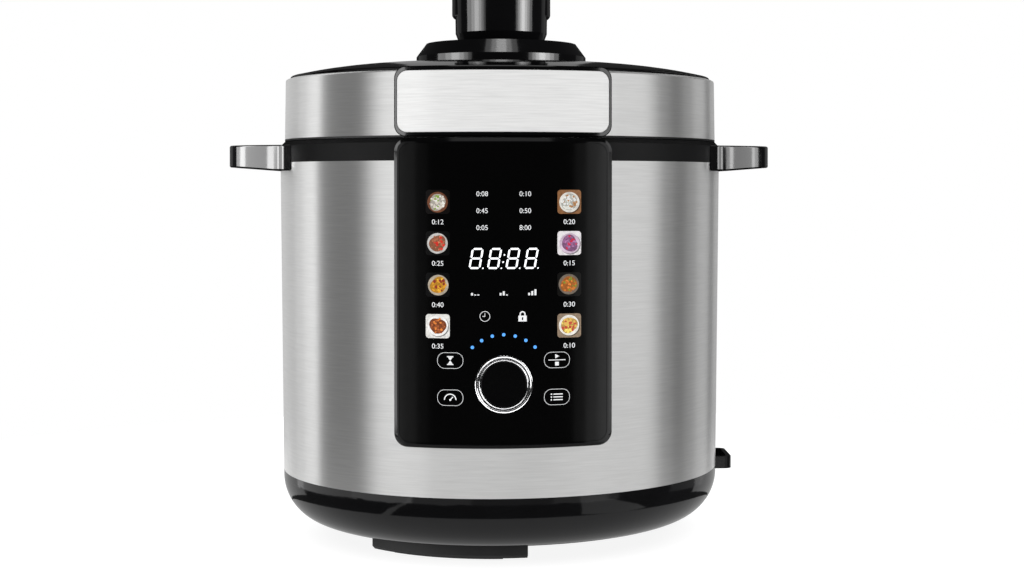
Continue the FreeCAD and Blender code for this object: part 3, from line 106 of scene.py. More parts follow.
class PanelSizes(bpy.types.PropertyGroup):
    """Where the print on the control panel stands, from the middle of the panel and the counter."""

    ink: length("Ink", "Thickness of the printed layers", 0.00008)
    bend: length("Bend step", "Width of the strips that follow the curved lens", 0.002)
    tile_side: length("Tile side", "Side of a programme picture", 0.0141)
    tile_corner: length("Tile corner", "Corner radius of a programme picture", 0.0018)
    tile_column: length("Tile column", "Distance of the picture columns from the middle", 0.0386)
    tile_top: length("Tile top", "Height of the first picture's middle", 0.2182)
    tile_pitch: length("Tile pitch", "Step from one picture to the next", 0.0243)
    caption_drop: length("Caption drop", "From a picture's middle down to its caption", 0.0119)
    caption_height: length("Caption height", "Height of the figures", 0.0041)
    list_column: length("List column", "Distance of the list columns from the middle", 0.0126)
    list_top: length("List top", "Height of the first row of the list", 0.2228)
    list_pitch: length("List pitch", "Step between the rows of the list", 0.0099)
    digit_height: length("Digit height", "Height of the lit digits", 0.0123)
    digit_width: length("Digit width", "Width of the lit digits", 0.0069)
    digit_stroke: length("Digit stroke", "Width of a lit segment", 0.0011)
    digit_pitch: length("Digit pitch", "Step between the digits", 0.01074)
    digit_centre: length("Digit centre", "Height of the digits' middle", 0.1851)
    level_column: length("Level column", "Step between the level marks", 0.0167)
    level_height: length("Level height", "Height of the level marks' middle", 0.1653)
    sign_column: length("Sign column", "Distance of the clock and padlock from the middle", 0.011)
    sign_height: length("Sign height", "Height of the clock and padlock", 0.1512)
    sign_size: length("Sign size", "Size of the clock and padlock", 0.0061)
    dot_radius: length("Dot radius", "Radius of an indicator dot", 0.001)
    dot_arc: length("Dot arc", "Radius of the arc of dots over the dial", 0.0262)
    dot_lift: length("Dot lift", "Height of the arc's middle over the dial's", 0.0019)
    key_column: length("Key column", "Distance of the touch keys from the middle", 0.0313)
    key_pitch: length("Key pitch", "Step between the rows of keys", 0.0218)
    key_centre: length("Key centre", "Height between the two rows of keys", 0.1143)
    key_width: length("Key width", "Width of a key outline", 0.015)
    key_height: length("Key height", "Height of a key outline", 0.0092)
    key_line: length("Key line", "Thickness of a key outline", 0.00025)
    dot_count: IntProperty(name="Dots", description="Number of indicator dots", default=7, min=1)
    dot_step: FloatProperty(
        name="Dot step", description="Angle between the dots", default=math.radians(14.8), unit="ROTATION"
    )


class CookerColours(bpy.types.PropertyGroup):
    """Colours of the finishes."""

    steel: colour("Steel", "Brushed wall and lid band", (0.60, 0.60, 0.595))
    plaque: colour("Plaque", "Bright plate on the lid", (0.74, 0.74, 0.735))
    sheet: colour("Sheet", "Pot, can and stampings", (0.56, 0.56, 0.555))
    gloss: colour("Gloss black", "Base, knob, handles and lid top", (0.0025, 0.0025, 0.0028))
    satin: colour("Satin black", "Upper ring and hidden mouldings", (0.014, 0.014, 0.0145))
    lens: colour("Lens", "Front of the control panel", (0.0010, 0.0010, 0.0011))
    ink: colour("Ink", "White print", (0.78, 0.79, 0.80))
    lamp: colour("Lamp", "Indicator dots", (0.10, 0.38, 0.95))


class StudioSizes(bpy.types.PropertyGroup):
    """Camera and light."""

    distance: length("Distance", "Camera to the body's axis", 1.195)
    eye: length("Eye", "Height of the camera", 0.2275)
    lens: FloatProperty(name="Lens", description="Focal length in millimetres", default=62.8)
    side: length("Side", "Camera's distance right of the body's middle", -0.0117)
    turn: FloatProperty(
        name="Turn", description="Camera's turn to the right", default=math.radians(3.9), unit="ROTATION"
    )
    right: FloatProperty(name="Right", description="Frame's shift right, in photo pixels", default=-93.5)
    down: FloatProperty(name="Down", description="Frame's shift down, in photo pixels", default=101.5)
    reach: length("Reach", "Distance of the lights from the axis", 1.7)
    floor: length("Floor", "Radius of the floor sheet", 0.62)


# Node helpers


def add_node(tree, kind, **settings):
    """Adds a node. Settings that name an input set it, and the others set a property."""
    node = tree.nodes.new(kind)
    for key, value in settings.items():
        socket = node.inputs.get(key.replace("_", " ").title())
        if socket is None:
            setattr(node, key, value)
        else:
            socket.default_value = value
    return node


def start_finish(name, base, roughness, metallic=0.0, **constants):
    """A material with its constants on the shader's own sockets."""
    material = bpy.data.materials.new(name)
    material.use_nodes = True
    shader = material.node_tree.nodes["Principled BSDF"]
    shader.inputs["Base Color"].default_value = (*base, 1.0)
    shader.inputs["Roughness"].default_value = roughness
    shader.inputs["Metallic"].default_value = metallic
    for key, value in constants.items():
        shader.inputs[key.replace("_", " ")].default_value = value
    material.diffuse_color = (*base, 1.0)
    return material, material.node_tree, shader


def grain(tree, frequency, detail=2.0, roughness=0.5):
    """Noise on the piece's own coordinates, with its frequency per metre along X, Y and Z."""
    place = add_node(tree, "ShaderNodeTexCoord")
    mapping = add_node(tree, "ShaderNodeMapping", scale=frequency)
    noise = add_node(tree, "ShaderNodeTexNoise", scale=1.0, detail=detail, roughness=roughness)
    tree.links.new(place.outputs["Object"], mapping.inputs["Vector"])
    tree.links.new(mapping.outputs["Vector"], noise.inputs["Vector"])
    return noise.outputs["Fac"]


def spread(tree, factor, low, high, socket):
    """Feeds a noise to a number socket, from low to high."""
    span = add_node(
        tree, "ShaderNodeMapRange", from_min=NOISE_LOW, from_max=NOISE_HIGH, to_min=low, to_max=high
    )
    tree.links.new(factor, span.inputs["Value"])
    tree.links.new(span.outputs["Result"], socket)


def tint(tree, factor, low, high, socket, edges=(NOISE_LOW, NOISE_HIGH)):
    """Feeds a noise to a colour socket, between two colours."""
    ramp = add_node(tree, "ShaderNodeValToRGB")
    for element, place, tone in zip(ramp.color_ramp.elements, edges, (low, high)):
        element.position = place
        element.color = (*tone, 1.0)
    tree.links.new(factor, ramp.inputs["Fac"])
    tree.links.new(ramp.outputs["Color"], socket)


def relief(tree, factor, depth, shader, strength):
    """Turns a noise into a shallow relief, with its depth in metres."""
    bump = add_node(tree, "ShaderNodeBump", strength=strength, distance=depth)
    tree.links.new(factor, bump.inputs["Height"])
    tree.links.new(bump.outputs["Normal"], shader.inputs["Normal"])


def shade(base, factor):
    return tuple(min(1.0, channel * factor) for channel in base)


# Finishes


def brushed(name, base, roughness, stretch, contrast):
    """Steel brushed round the body's axis, which spreads its reflections up and down."""
    material, tree, shader = start_finish(
        name, base, roughness, 1.0, Anisotropic=stretch, Anisotropic_Rotation=0.25
    )
    direction = add_node(tree, "ShaderNodeTangent", direction_type="RADIAL", axis="Z")
    tree.links.new(direction.outputs["Tangent"], shader.inputs["Tangent"])
    lines = grain(tree, (45.0, 45.0, 1100.0), 2.0, 0.6)
    tint(tree, lines, shade(base, 1.0 - contrast), shade(base, 1.0 + contrast), shader.inputs["Base Color"])
    broad = grain(tree, (9.0, 9.0, 700.0))
    spread(tree, broad, roughness * 0.94, roughness * 1.06, shader.inputs["Roughness"])
    return material


def rolled(name, base, roughness):
    """Plain sheet metal with a faint cloud and fine scratches."""
    material, tree, shader = start_finish(name, base, roughness, 1.0)
    cloud = grain(tree, (30.0, 30.0, 30.0), 4.0)
    tint(tree, cloud, shade(base, 0.9), shade(base, 1.06), shader.inputs["Base Color"])
    scratches = grain(tree, (60.0, 60.0, 1500.0), 3.0)
    spread(tree, scratches, roughness * 0.8, roughness * 1.25, shader.inputs["Roughness"])
    relief(tree, scratches, 0.00001, shader, 0.3)
    return material


def moulded(name, base, roughness, peel, frequency, **constants):
    """Plastic with a slight surface relief and an uneven gloss."""
    material, tree, shader = start_finish(name, base, roughness, 0.0, **constants)
    cloud = grain(tree, (45.0, 45.0, 45.0), 3.0)
    tint(tree, cloud, shade(base, 0.85), shade(base, 1.15), shader.inputs["Base Color"])
    texture = grain(tree, (frequency, frequency, frequency), 2.0)
    spread(tree, texture, roughness * 0.85, roughness * 1.2, shader.inputs["Roughness"])
    relief(tree, texture, peel, shader, 0.5)
    return material


def polished(name, base, roughness):
    """Plated metal with a faint haze."""
    material, tree, shader = start_finish(name, base, roughness, 1.0)
    haze = grain(tree, (180.0, 180.0, 180.0), 3.0)
    tint(tree, haze, shade(base, 0.94), shade(base, 1.03), shader.inputs["Base Color"])
    spread(tree, haze, roughness * 0.7, roughness * 1.4, shader.inputs["Roughness"])
    return material


def board(name, base):
    """Lacquered board with copper runs under the lacquer."""
    material, tree, shader = start_finish(name, base, 0.3)
    place = add_node(tree, "ShaderNodeTexCoord")
    runs = add_node(tree, "ShaderNodeTexBrick", scale=90.0, mortar_size=0.03)
    tree.links.new(place.outputs["Object"], runs.inputs["Vector"])
    tint(tree, runs.outputs["Fac"], base, shade(base, 2.2), shader.inputs["Base Color"], (0.0, 1.0))
    relief(tree, runs.outputs["Fac"], 0.00003, shader, 0.4)
    return material


def printed(name, base, glow):
    """Printed or lit layer on the lens, a little uneven and with a glow of its own."""
    material, tree, shader = start_finish(
        name, base, 0.3, 0.0, Emission_Color=(*base, 1.0), Emission_Strength=glow
    )
    cloud = grain(tree, (900.0, 900.0, 900.0), 2.0)
    tint(tree, cloud, shade(base, 0.88), shade(base, 1.08), shader.inputs["Base Color"])
    return material


def pictured(name, dark, light, frequency):
    """Mottled picture colour for the programme tiles, which also glows in that colour as a painted glow."""
    material, tree, shader = start_finish(name, light, 0.35, 0.0, Emission_Strength=PICTURE_GLOW)
    cloud = grain(tree, (frequency, frequency, frequency), 4.0, 0.65)
    for socket in ("Base Color", "Emission Color"):
        tint(tree, cloud, dark, light, shader.inputs[socket])
    return material


def paper(name, base):
    """Pale matt floor with a faint mottle and a glow of its own, so that shadows on it stay light."""
    glow = {"Emission_Color": (*base, 1.0), "Emission_Strength": 1.0}
    material, tree, shader = start_finish(name, shade(base, 0.3), 0.8, Specular_IOR_Level=0.1, **glow)
    mottle = grain(tree, (14.0, 14.0, 14.0), 3.0)
    tint(tree, mottle, shade(base, 0.29), shade(base, 0.3), shader.inputs["Base Color"])
    return material


def slot_finishes(colours):
    """One finish for each material slot of the solids."""
    return {
        "brushed_steel": brushed("brushed_steel", colours.steel, 0.30, 0.85, 0.05),
        "plaque_steel": brushed("plaque_steel", colours.plaque, 0.34, 0.7, 0.06),
        "sheet_steel": rolled("sheet_steel", colours.sheet, 0.28),
        "gloss_black": moulded("gloss_black", colours.gloss, 0.09, 0.00001, 260.0),
        "matte_black": moulded("satin_black", colours.satin, 0.5, 0.00003, 2600.0, Specular_IOR_Level=0.2),
        "lens_black": moulded("lens_black", colours.lens, 0.12, 0.000004, 120.0),
        "chrome": polished("chrome", (0.84, 0.84, 0.85), 0.08),
        "rubber": moulded("rubber", (0.022, 0.022, 0.022), 0.68, 0.00005, 1800.0),
        "silicone": moulded("silicone", (0.60, 0.61, 0.60), 0.45, 0.00002, 900.0, Subsurface_Weight=0.2),
        "cast_aluminium": rolled("cast_aluminium", (0.62, 0.62, 0.61), 0.42),
        "screw_steel": polished("screw_steel", (0.50, 0.50, 0.49), 0.3),
        "circuit_board": board("circuit_board", (0.02, 0.13, 0.055)),
        "component": moulded("component", (0.05, 0.05, 0.06), 0.4, 0.00002, 1200.0),
        "brass": polished("brass", (0.72, 0.53, 0.22), 0.25),
        "cup_plastic": moulded("cup_plastic", (0.36, 0.37, 0.38), 0.3, 0.00001, 500.0),
    }


# Drawing on the panel


def lens_surface():
    """Search tree over the panel lens, for laying print on it."""
    lens = frame["nodes"]["panel_lens"].data
    corners = [vertex.co.copy() for vertex in lens.vertices]
    return BVHTree.FromPolygons(corners, [tuple(face.vertices) for face in lens.polygons])


def circle(x, z, radius, sides=28, start=0.0, sweep=math.tau):
    """Points round a circle, against the clock, or along an arc of it."""
    closed = sweep == math.tau
    steps = sides if closed else sides + 1
    turns = [start + sweep * step / sides for step in range(steps)]
    return [(x + radius * math.cos(turn), z + radius * math.sin(turn)) for turn in turns]


def rectangle(left, low, right, high):
    return [(left, low), (right, low), (right, high), (left, high)]


def rounded_square(x, z, side, corner):
    """A square about a point, with five steps round each corner."""
    reach = side / 2 - corner
    points = []
    for quarter, (right, up) in enumerate(((1, 1), (-1, 1), (-1, -1), (1, -1))):
        start = quarter * math.pi / 2
        points += circle(x + right * reach, z + up * reach, corner, 5, start, math.pi / 2)
    return points


class PanelPrint:
    """Flat shapes drawn with x to the right and z up, then laid on the lens as a thin closed layer."""

    def __init__(self):
        self.flat = bmesh.new()

    def area(self, points, material=0, rise=0.0):
        corners = [self.flat.verts.new((x, -rise, z)) for x, z in points]
        face = self.flat.faces.new(corners)
        face.material_index = material

    def band(self, outer, inner, closed=True):
        """A strip between two outlines with as many points."""
        far = [self.flat.verts.new((x, 0.0, z)) for x, z in outer]
        near = [self.flat.verts.new((x, 0.0, z)) for x, z in inner]
        last = len(far) if closed else len(far) - 1
        for index in range(last):
            following = (index + 1) % len(far)
            self.flat.faces.new((near[index], far[index], far[following], near[following]))

    def line(self, start, end, width):
        along = Vector((end[0] - start[0], end[1] - start[1])).normalized()
        side = Vector((-along.y, along.x)) * width / 2
        first, last = Vector(start), Vector(end)
        self.area([tuple(point) for point in (first - side, last - side, last + side, first + side)])

    def figures(self, text, x, z, height):
        """Plain figures, centred on a point."""
        curve = bpy.data.curves.new("figures", "FONT")
        curve.body = text
        curve.size = height
        curve.align_x = "CENTER"
        curve.align_y = "CENTER"
        holder = bpy.data.objects.new("figures", curve)
        outline = bpy.data.meshes.new_from_object(holder)
        places = [(x + vertex.co.x, 0.0, z + vertex.co.y) for vertex in outline.vertices]
        corners = [self.flat.verts.new(place) for place in places]
        for polygon in outline.polygons:
            self.flat.faces.new([corners[index] for index in polygon.vertices])
        bpy.data.objects.remove(holder)
        bpy.data.curves.remove(curve)
        bpy.data.meshes.remove(outline)

    def strips(self, step):
        """Cuts the flat shapes into upright strips, so that they can follow the lens."""
        reach = max((abs(vertex.co.x) for vertex in self.flat.verts), default=0.0)
        count = int(reach / step) + 1
        for index in range(-count, count + 1):
            everything = self.flat.verts[:] + self.flat.edges[:] + self.flat.faces[:]
            bmesh.ops.bisect_plane(
                self.flat, geom=everything, plane_co=(index * step, 0.0, 0.0), plane_no=(1.0, 0.0, 0.0)
            )

    def thicken(self, thickness):
        bmesh.ops.recalc_face_normals(self.flat, faces=self.flat.faces[:])
        grown = bmesh.ops.extrude_face_region(self.flat, geom=self.flat.faces[:])
        for item in grown["geom"]:
            if isinstance(item, bmesh.types.BMVert):
                item.co.y -= thickness
        bmesh.ops.recalc_face_normals(self.flat, faces=self.flat.faces[:])

    def lay(self, name, materials, surface, lift=0.0):
        """Bends the layer over the lens and makes it a piece that rides on the body."""
        for vertex in self.flat.verts:
            start = Vector((vertex.co.x, CAD_BOX[0].y - 1.0, vertex.co.z))
            place = surface.ray_cast(start, Vector((0.0, 1.0, 0.0)))[0]
            if place is None:
                raise RuntimeError(name + " reaches past the lens")
            outward = Vector((place.x, place.y, 0.0)).normalized()
            vertex.co = place + outward * (lift - vertex.co.y)
        mesh = bpy.data.meshes.new(name)
        self.flat.to_mesh(mesh)
        self.flat.free()
        for material in materials:
            mesh.materials.append(material)
        piece = bpy.data.objects.new(name, mesh)
        bpy.context.scene.collection.objects.link(piece)
        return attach(piece, "cooker")


def finish_print(sheet, name, materials, surface, sizes, lift=0.0):
    """Cuts, thickens and lays a drawn sheet."""
    sheet.strips(sizes.bend)
    sheet.thicken(sizes.ink)
    return sheet.lay(name, materials, surface, lift)


# Geometry node helpers


def new_tree(name, inputs):
    """A geometry node tree with named inputs, given as name and socket type."""
    tree = bpy.data.node_groups.new(name, "GeometryNodeTree")
    tree.interface.new_socket("Geometry", in_out="OUTPUT", socket_type="NodeSocketGeometry")
    for label, kind in inputs.items():
        tree.interface.new_socket(label, in_out="INPUT", socket_type="NodeSocket" + kind)
    source = tree.nodes.new("NodeGroupInput")
    sink = tree.nodes.new("NodeGroupOutput")
    return tree, source.outputs, sink.inputs["Geometry"]


def run_tree(tree, values):
    """Evaluates a tree with its inputs set by identifier, and gives the plain mesh."""
    holder = bpy.data.objects.new(tree.name, bpy.data.meshes.new(tree.name))
    bpy.context.scene.collection.objects.link(holder)
    modifier = holder.modifiers.new(tree.name, "NODES")
    modifier.node_group = tree
    for item in tree.interface.items_tree:
        if item.in_out == "INPUT":
            modifier[item.identifier] = values[item.name]
    graph = bpy.context.evaluated_depsgraph_get()
    mesh = bpy.data.meshes.new_from_object(holder.evaluated_get(graph))
    holder.modifiers.remove(modifier)
    bpy.data.objects.remove(holder)
    return mesh


def join_nodes(tree, *pairs):
    for source, target in pairs:
        tree.links.new(source, target)


def stand_up(tree, copies, material, result):
    """Ends a tree: stands the copies upright, makes them real and gives them their material."""
    upright = add_node(tree, "GeometryNodeTransform")
    upright.inputs["Rotation"].default_value = Euler((math.pi / 2, 0.0, 0.0))
    real = add_node(tree, "GeometryNodeRealizeInstances")
    paint = add_node(tree, "GeometryNodeSetMaterial")
    join_nodes(
        tree,
        (copies, upright.inputs["Geometry"]),
        (upright.outputs["Geometry"], real.inputs["Geometry"]),
        (real.outputs["Geometry"], paint.inputs["Geometry"]),
        (material, paint.inputs["Material"]),
        (paint.outputs["Geometry"], result),
    )


def dots_tree():
    """Dots spaced along an arc that stands upright about the origin."""
    inputs = {label: "Float" for label in ("Arc Radius", "Step", "Dot Radius")}
    tree, given, result = new_tree("indicator_dots", {"Count": "Int", **inputs, "Lamp": "Material"})
    gaps = add_node(tree, "ShaderNodeMath", operation="SUBTRACT")
    gaps.inputs[1].default_value = 1.0
    sweep = add_node(tree, "ShaderNodeMath", operation="MULTIPLY")
    half = add_node(tree, "ShaderNodeMath", operation="MULTIPLY_ADD")
    half.inputs[1].default_value = -0.5
    half.inputs[2].default_value = math.pi / 2
    arc = add_node(tree, "GeometryNodeCurveArc", mode="RADIUS")
    points = add_node(tree, "GeometryNodeCurveToPoints", mode="COUNT")
    dome = add_node(tree, "GeometryNodeMeshUVSphere", segments=20, rings=10)
    flat = add_node(tree, "GeometryNodeTransform", scale=(1.0, 1.0, DOT_DOME))
    copies = add_node(tree, "GeometryNodeInstanceOnPoints")
    join_nodes(
        tree,
        (given["Count"], gaps.inputs[0]),
        (gaps.outputs[0], sweep.inputs[0]),
        (given["Step"], sweep.inputs[1]),
        (sweep.outputs[0], half.inputs[0]),
        (given["Arc Radius"], arc.inputs["Radius"]),
        (half.outputs[0], arc.inputs["Start Angle"]),
        (sweep.outputs[0], arc.inputs["Sweep Angle"]),
        (arc.outputs["Curve"], points.inputs["Curve"]),
        (given["Count"], points.inputs["Count"]),
        (given["Dot Radius"], dome.inputs["Radius"]),
        (dome.outputs["Mesh"], flat.inputs["Geometry"]),
        (points.outputs["Points"], copies.inputs["Points"]),
        (flat.outputs["Geometry"], copies.inputs["Instance"]),
    )
    stand_up(tree, copies.outputs["Instances"], given["Lamp"], result)
    return tree


def outlines_tree():
    """Round-ended outlines on a grid that stands upright about the origin."""
    inputs = {label: "Float" for label in ("Across", "Down", "Width", "Height", "Line")}
    tree, given, result = new_tree("key_outlines", {**inputs, "Ink": "Material"})
    grid = add_node(tree, "GeometryNodeMeshGrid")
    grid.inputs["Vertices X"].default_value = 2
    grid.inputs["Vertices Y"].default_value = 2
    box = add_node(tree, "GeometryNodeCurvePrimitiveQuadrilateral", mode="RECTANGLE")
    corner = add_node(tree, "ShaderNodeMath", operation="MULTIPLY")
    corner.inputs[1].default_value = KEY_CORNER
    fillet = add_node(tree, "GeometryNodeFilletCurve", mode="POLY")
    fillet.inputs["Count"].default_value = 10
    section = add_node(tree, "ShaderNodeMath", operation="MULTIPLY")
    section.inputs[1].default_value = 0.5
    wire = add_node(tree, "GeometryNodeCurvePrimitiveCircle", mode="RADIUS")
    wire.inputs["Resolution"].default_value = 8
    tube = add_node(tree, "GeometryNodeCurveToMesh")
    copies = add_node(tree, "GeometryNodeInstanceOnPoints")
    join_nodes(
        tree,
        (given["Across"], grid.inputs["Size X"]),
        (given["Down"], grid.inputs["Size Y"]),
        (given["Width"], box.inputs["Width"]),
        (given["Height"], box.inputs["Height"]),
        (given["Height"], corner.inputs[0]),
        (box.outputs["Curve"], fillet.inputs["Curve"]),
        (corner.outputs[0], fillet.inputs["Radius"]),
        (given["Line"], section.inputs[0]),
        (section.outputs[0], wire.inputs["Radius"]),
        (fillet.outputs["Curve"], tube.inputs["Curve"]),
        (wire.outputs["Curve"], tube.inputs["Profile Curve"]),
        (grid.outputs["Mesh"], copies.inputs["Points"]),
        (tube.outputs["Mesh"], copies.inputs["Instance"]),
    )
    stand_up(tree, copies.outputs["Instances"], given["Ink"], result)
    return tree


def lay_mesh(mesh, name, surface, rise):
    """Lays a mesh that stands upright about the origin on the lens, raised to its height."""
    sheet = PanelPrint()
    sheet.flat.from_mesh(mesh)
    bmesh.ops.translate(sheet.flat, verts=sheet.flat.verts[:], vec=(0.0, 0.0, rise))
    piece = sheet.lay(name, list(mesh.materials), surface)
    for polygon in piece.data.polygons:
        polygon.use_smooth = True
    return piece


# Operators, one for each piece or group of like pieces


class FinishSolids(bpy.types.Operator):
    """Gives every solid of the cooker its finish"""

    bl_idname = "cooker.finish_solids"
    bl_label = "Finish the solids"

    def execute(self, context):
        finishes = slot_finishes(context.scene.cooker_colours)
        for name, solid in frame["nodes"].items():
            finish = finishes[NODE_SLOTS[name]]
            if not solid.material_slots:
                solid.data.materials.append(finish)
            for slot in solid.material_slots:
                slot.material = finish
        return {"FINISHED"}


# Colours of each picture: table, plate, food and garnish
DISHES = {
    (-1, 0): ((0.0030, 0.0020, 0.0018), (0.16, 0.06, 0.03), (0.62, 0.57, 0.50), (0.22, 0.35, 0.06)),
    (-1, 1): ((0.0014, 0.0014, 0.0014), (0.50, 0.49, 0.47), (0.40, 0.15, 0.08), (0.62, 0.03, 0.02)),
    (-1, 2): ((0.0014, 0.0014, 0.0016), (0.42, 0.36, 0.28), (0.72, 0.34, 0.03), (0.25, 0.03, 0.02)),
    (-1, 3): ((0.70, 0.69, 0.66), (0.80, 0.79, 0.77), (0.30, 0.08, 0.025), (0.72, 0.22, 0.04)),
    (1, 0): ((0.24, 0.11, 0.045), (0.66, 0.64, 0.59), (0.72, 0.72, 0.66), (0.40, 0.20, 0.08)),
    (1, 1): ((0.72, 0.69, 0.70), (0.56, 0.44, 0.54), (0.30, 0.13, 0.27), (0.60, 0.02, 0.06)),
    (1, 2): ((0.0040, 0.0036, 0.0030), (0.16, 0.13, 0.10), (0.55, 0.17, 0.03), (0.20, 0.26, 0.03)),
    (1, 3): ((0.26, 0.19, 0.13), (0.76, 0.73, 0.67), (0.74, 0.46, 0.11), (0.50, 0.07, 0.04)),
}
TILE_SEED = 100
FOOD_PIECES = 44
GARNISH_PIECES = 9
FOOD_TONES = ("sauce", "food", "food", "light_food")
# Shares of half a picture's side
DISH_RADIUS = 0.86
DISH_DRIFT = 0.05
SHADOW_SHIFT = 0.06
# Shares of the dish's radius
SHADOW_RADIUS = 1.02
SAUCE_RADIUS = 0.78
FOOD_REACH = 0.7
PIECE_RADII = (0.08, 0.17)
# Length of a piece of food as a share of its width
PIECE_STRETCH = (0.5, 1.0)
# Depth of the two and the three waves round an outline as shares of its radius
TWO_WAVES = 0.08
THREE_WAVES = 0.06
# Step between a picture's layers as a share of the ink's thickness
LAYER_STEP = 0.6


def blob(draw, x, z, radius, stretch, sides):
    """An uneven rounded outline, turned any way."""
    lean = draw.uniform(0.0, math.tau)
    first, second = draw.uniform(0.0, math.tau), draw.uniform(0.0, math.tau)
    points = []
    for step in range(sides):
        turn = math.tau * step / sides
        waves = TWO_WAVES * math.sin(2 * turn + first) + THREE_WAVES * math.sin(3 * turn + second)
        out = radius * (1.0 + waves)
        along, across = out * stretch * math.cos(turn), out * math.sin(turn)
        turned_x = along * math.cos(lean) - across * math.sin(lean)
        turned_z = along * math.sin(lean) + across * math.cos(lean)
        points.append((x + turned_x, z + turned_z))
    return points


def picture_tones(name, ground, plate, food, garnish):
    """A mottled material for each tone of a picture."""
    tones = {
        "table": (ground, 700.0),
        "shadow": (shade(ground, 0.3), 500.0),
        "dish": (plate, 300.0),
        "sauce": (shade(food, 0.6), 900.0),
        "food": (food, 1500.0),
        "light_food": (shade(food, 1.5), 1500.0),
        "garnish": (garnish, 1200.0),
    }
    return {
        tone: pictured(f"{name}_{tone}", shade(base, 0.7), shade(base, 1.25), frequency)
        for tone, (base, frequency) in tones.items()
    }


def draw_tile(column, row, x, z, surface, sizes):
    """A dish seen from straight above on a table top, with pieces of food scattered in it."""
    name = f"picture_{'left' if column < 0 else 'right'}_{row + 1}"
    tones = picture_tones(name, *DISHES[column, row])
    slots = {tone: index for index, tone in enumerate(tones)}
    draw = random.Random(TILE_SEED + 10 * row + column)
    half = sizes.tile_side / 2
    middle_x = x + draw.uniform(-DISH_DRIFT, DISH_DRIFT) * half
    middle_z = z + draw.uniform(-DISH_DRIFT, DISH_DRIFT) * half
    radius = half * DISH_RADIUS
    cast = half * SHADOW_SHIFT
    layers = {part: PanelPrint() for part in ("table", "shadow", "dish", "food", "bits")}
    layers["table"].area(rounded_square(x, z, sizes.tile_side, sizes.tile_corner), slots["table"])
    layers["shadow"].area(circle(middle_x + cast, middle_z - cast, radius * SHADOW_RADIUS), slots["shadow"])
    layers["dish"].area(circle(middle_x, middle_z, radius), slots["dish"])
    layers["food"].area(blob(draw, middle_x, middle_z, radius * SAUCE_RADIUS, 1.0, 24), slots["sauce"])
    for piece in range(FOOD_PIECES + GARNISH_PIECES):
        turn = draw.uniform(0.0, math.tau)
        out = radius * FOOD_REACH * math.sqrt(draw.random())
        place_x = middle_x + out * math.cos(turn)
        place_z = middle_z + out * math.sin(turn)
        size = radius * draw.uniform(*PIECE_RADII)
        outline = blob(draw, place_x, place_z, size, draw.uniform(*PIECE_STRETCH), 10)
        tone = draw.choice(FOOD_TONES) if piece < FOOD_PIECES else "garnish"
        layers["bits"].area(outline, slots[tone], piece * sizes.ink / FOOD_PIECES)
    for depth, (part, layer) in enumerate(layers.items()):
        lift = depth * sizes.ink * LAYER_STEP
        finish_print(layer, f"{name}_{part}", list(tones.values()), surface, sizes, lift)


class LayTiles(bpy.types.Operator):
    """Lays the eight programme pictures"""

    bl_idname = "cooker.lay_tiles"
    bl_label = "Programme pictures"

    def execute(self, context):
        sizes = context.scene.cooker_panel
        surface = lens_surface()
        for column in (-1, 1):
            for row in range(4):
                x = column * sizes.tile_column
                z = sizes.tile_top - row * sizes.tile_pitch
                draw_tile(column, row, x, z, surface, sizes)
        return {"FINISHED"}


# Times in hours and minutes, left and right of the middle
PICTURE_TIMES = {-1: ("0:12", "0:25", "0:40", "0:35"), 1: ("0:20", "0:15", "0:30", "0:10")}
LIST_TIMES = {-1: ("0:08", "0:45", "0:05"), 1: ("0:10", "0:50", "8:00")}


class LayFigures(bpy.types.Operator):
    """Lays the figures under the pictures and in the list"""

    bl_idname = "cooker.lay_figures"
    bl_label = "Figures"

    def execute(self, context):
        sizes = context.scene.cooker_panel
        sheet = PanelPrint()
        columns = (
            (PICTURE_TIMES, sizes.tile_column, sizes.tile_top - sizes.caption_drop, sizes.tile_pitch),
            (LIST_TIMES, sizes.list_column, sizes.list_top, sizes.list_pitch),
        )
        for times, away, top, pitch in columns:
            for column, captions in times.items():
                for row, caption in enumerate(captions):
                    sheet.figures(caption, column * away, top - row * pitch, sizes.caption_height)
        ink = printed("figure_ink", context.scene.cooker_colours.ink, INK_GLOW)
        finish_print(sheet, "panel_figures", [ink], lens_surface(), sizes)
        return {"FINISHED"}


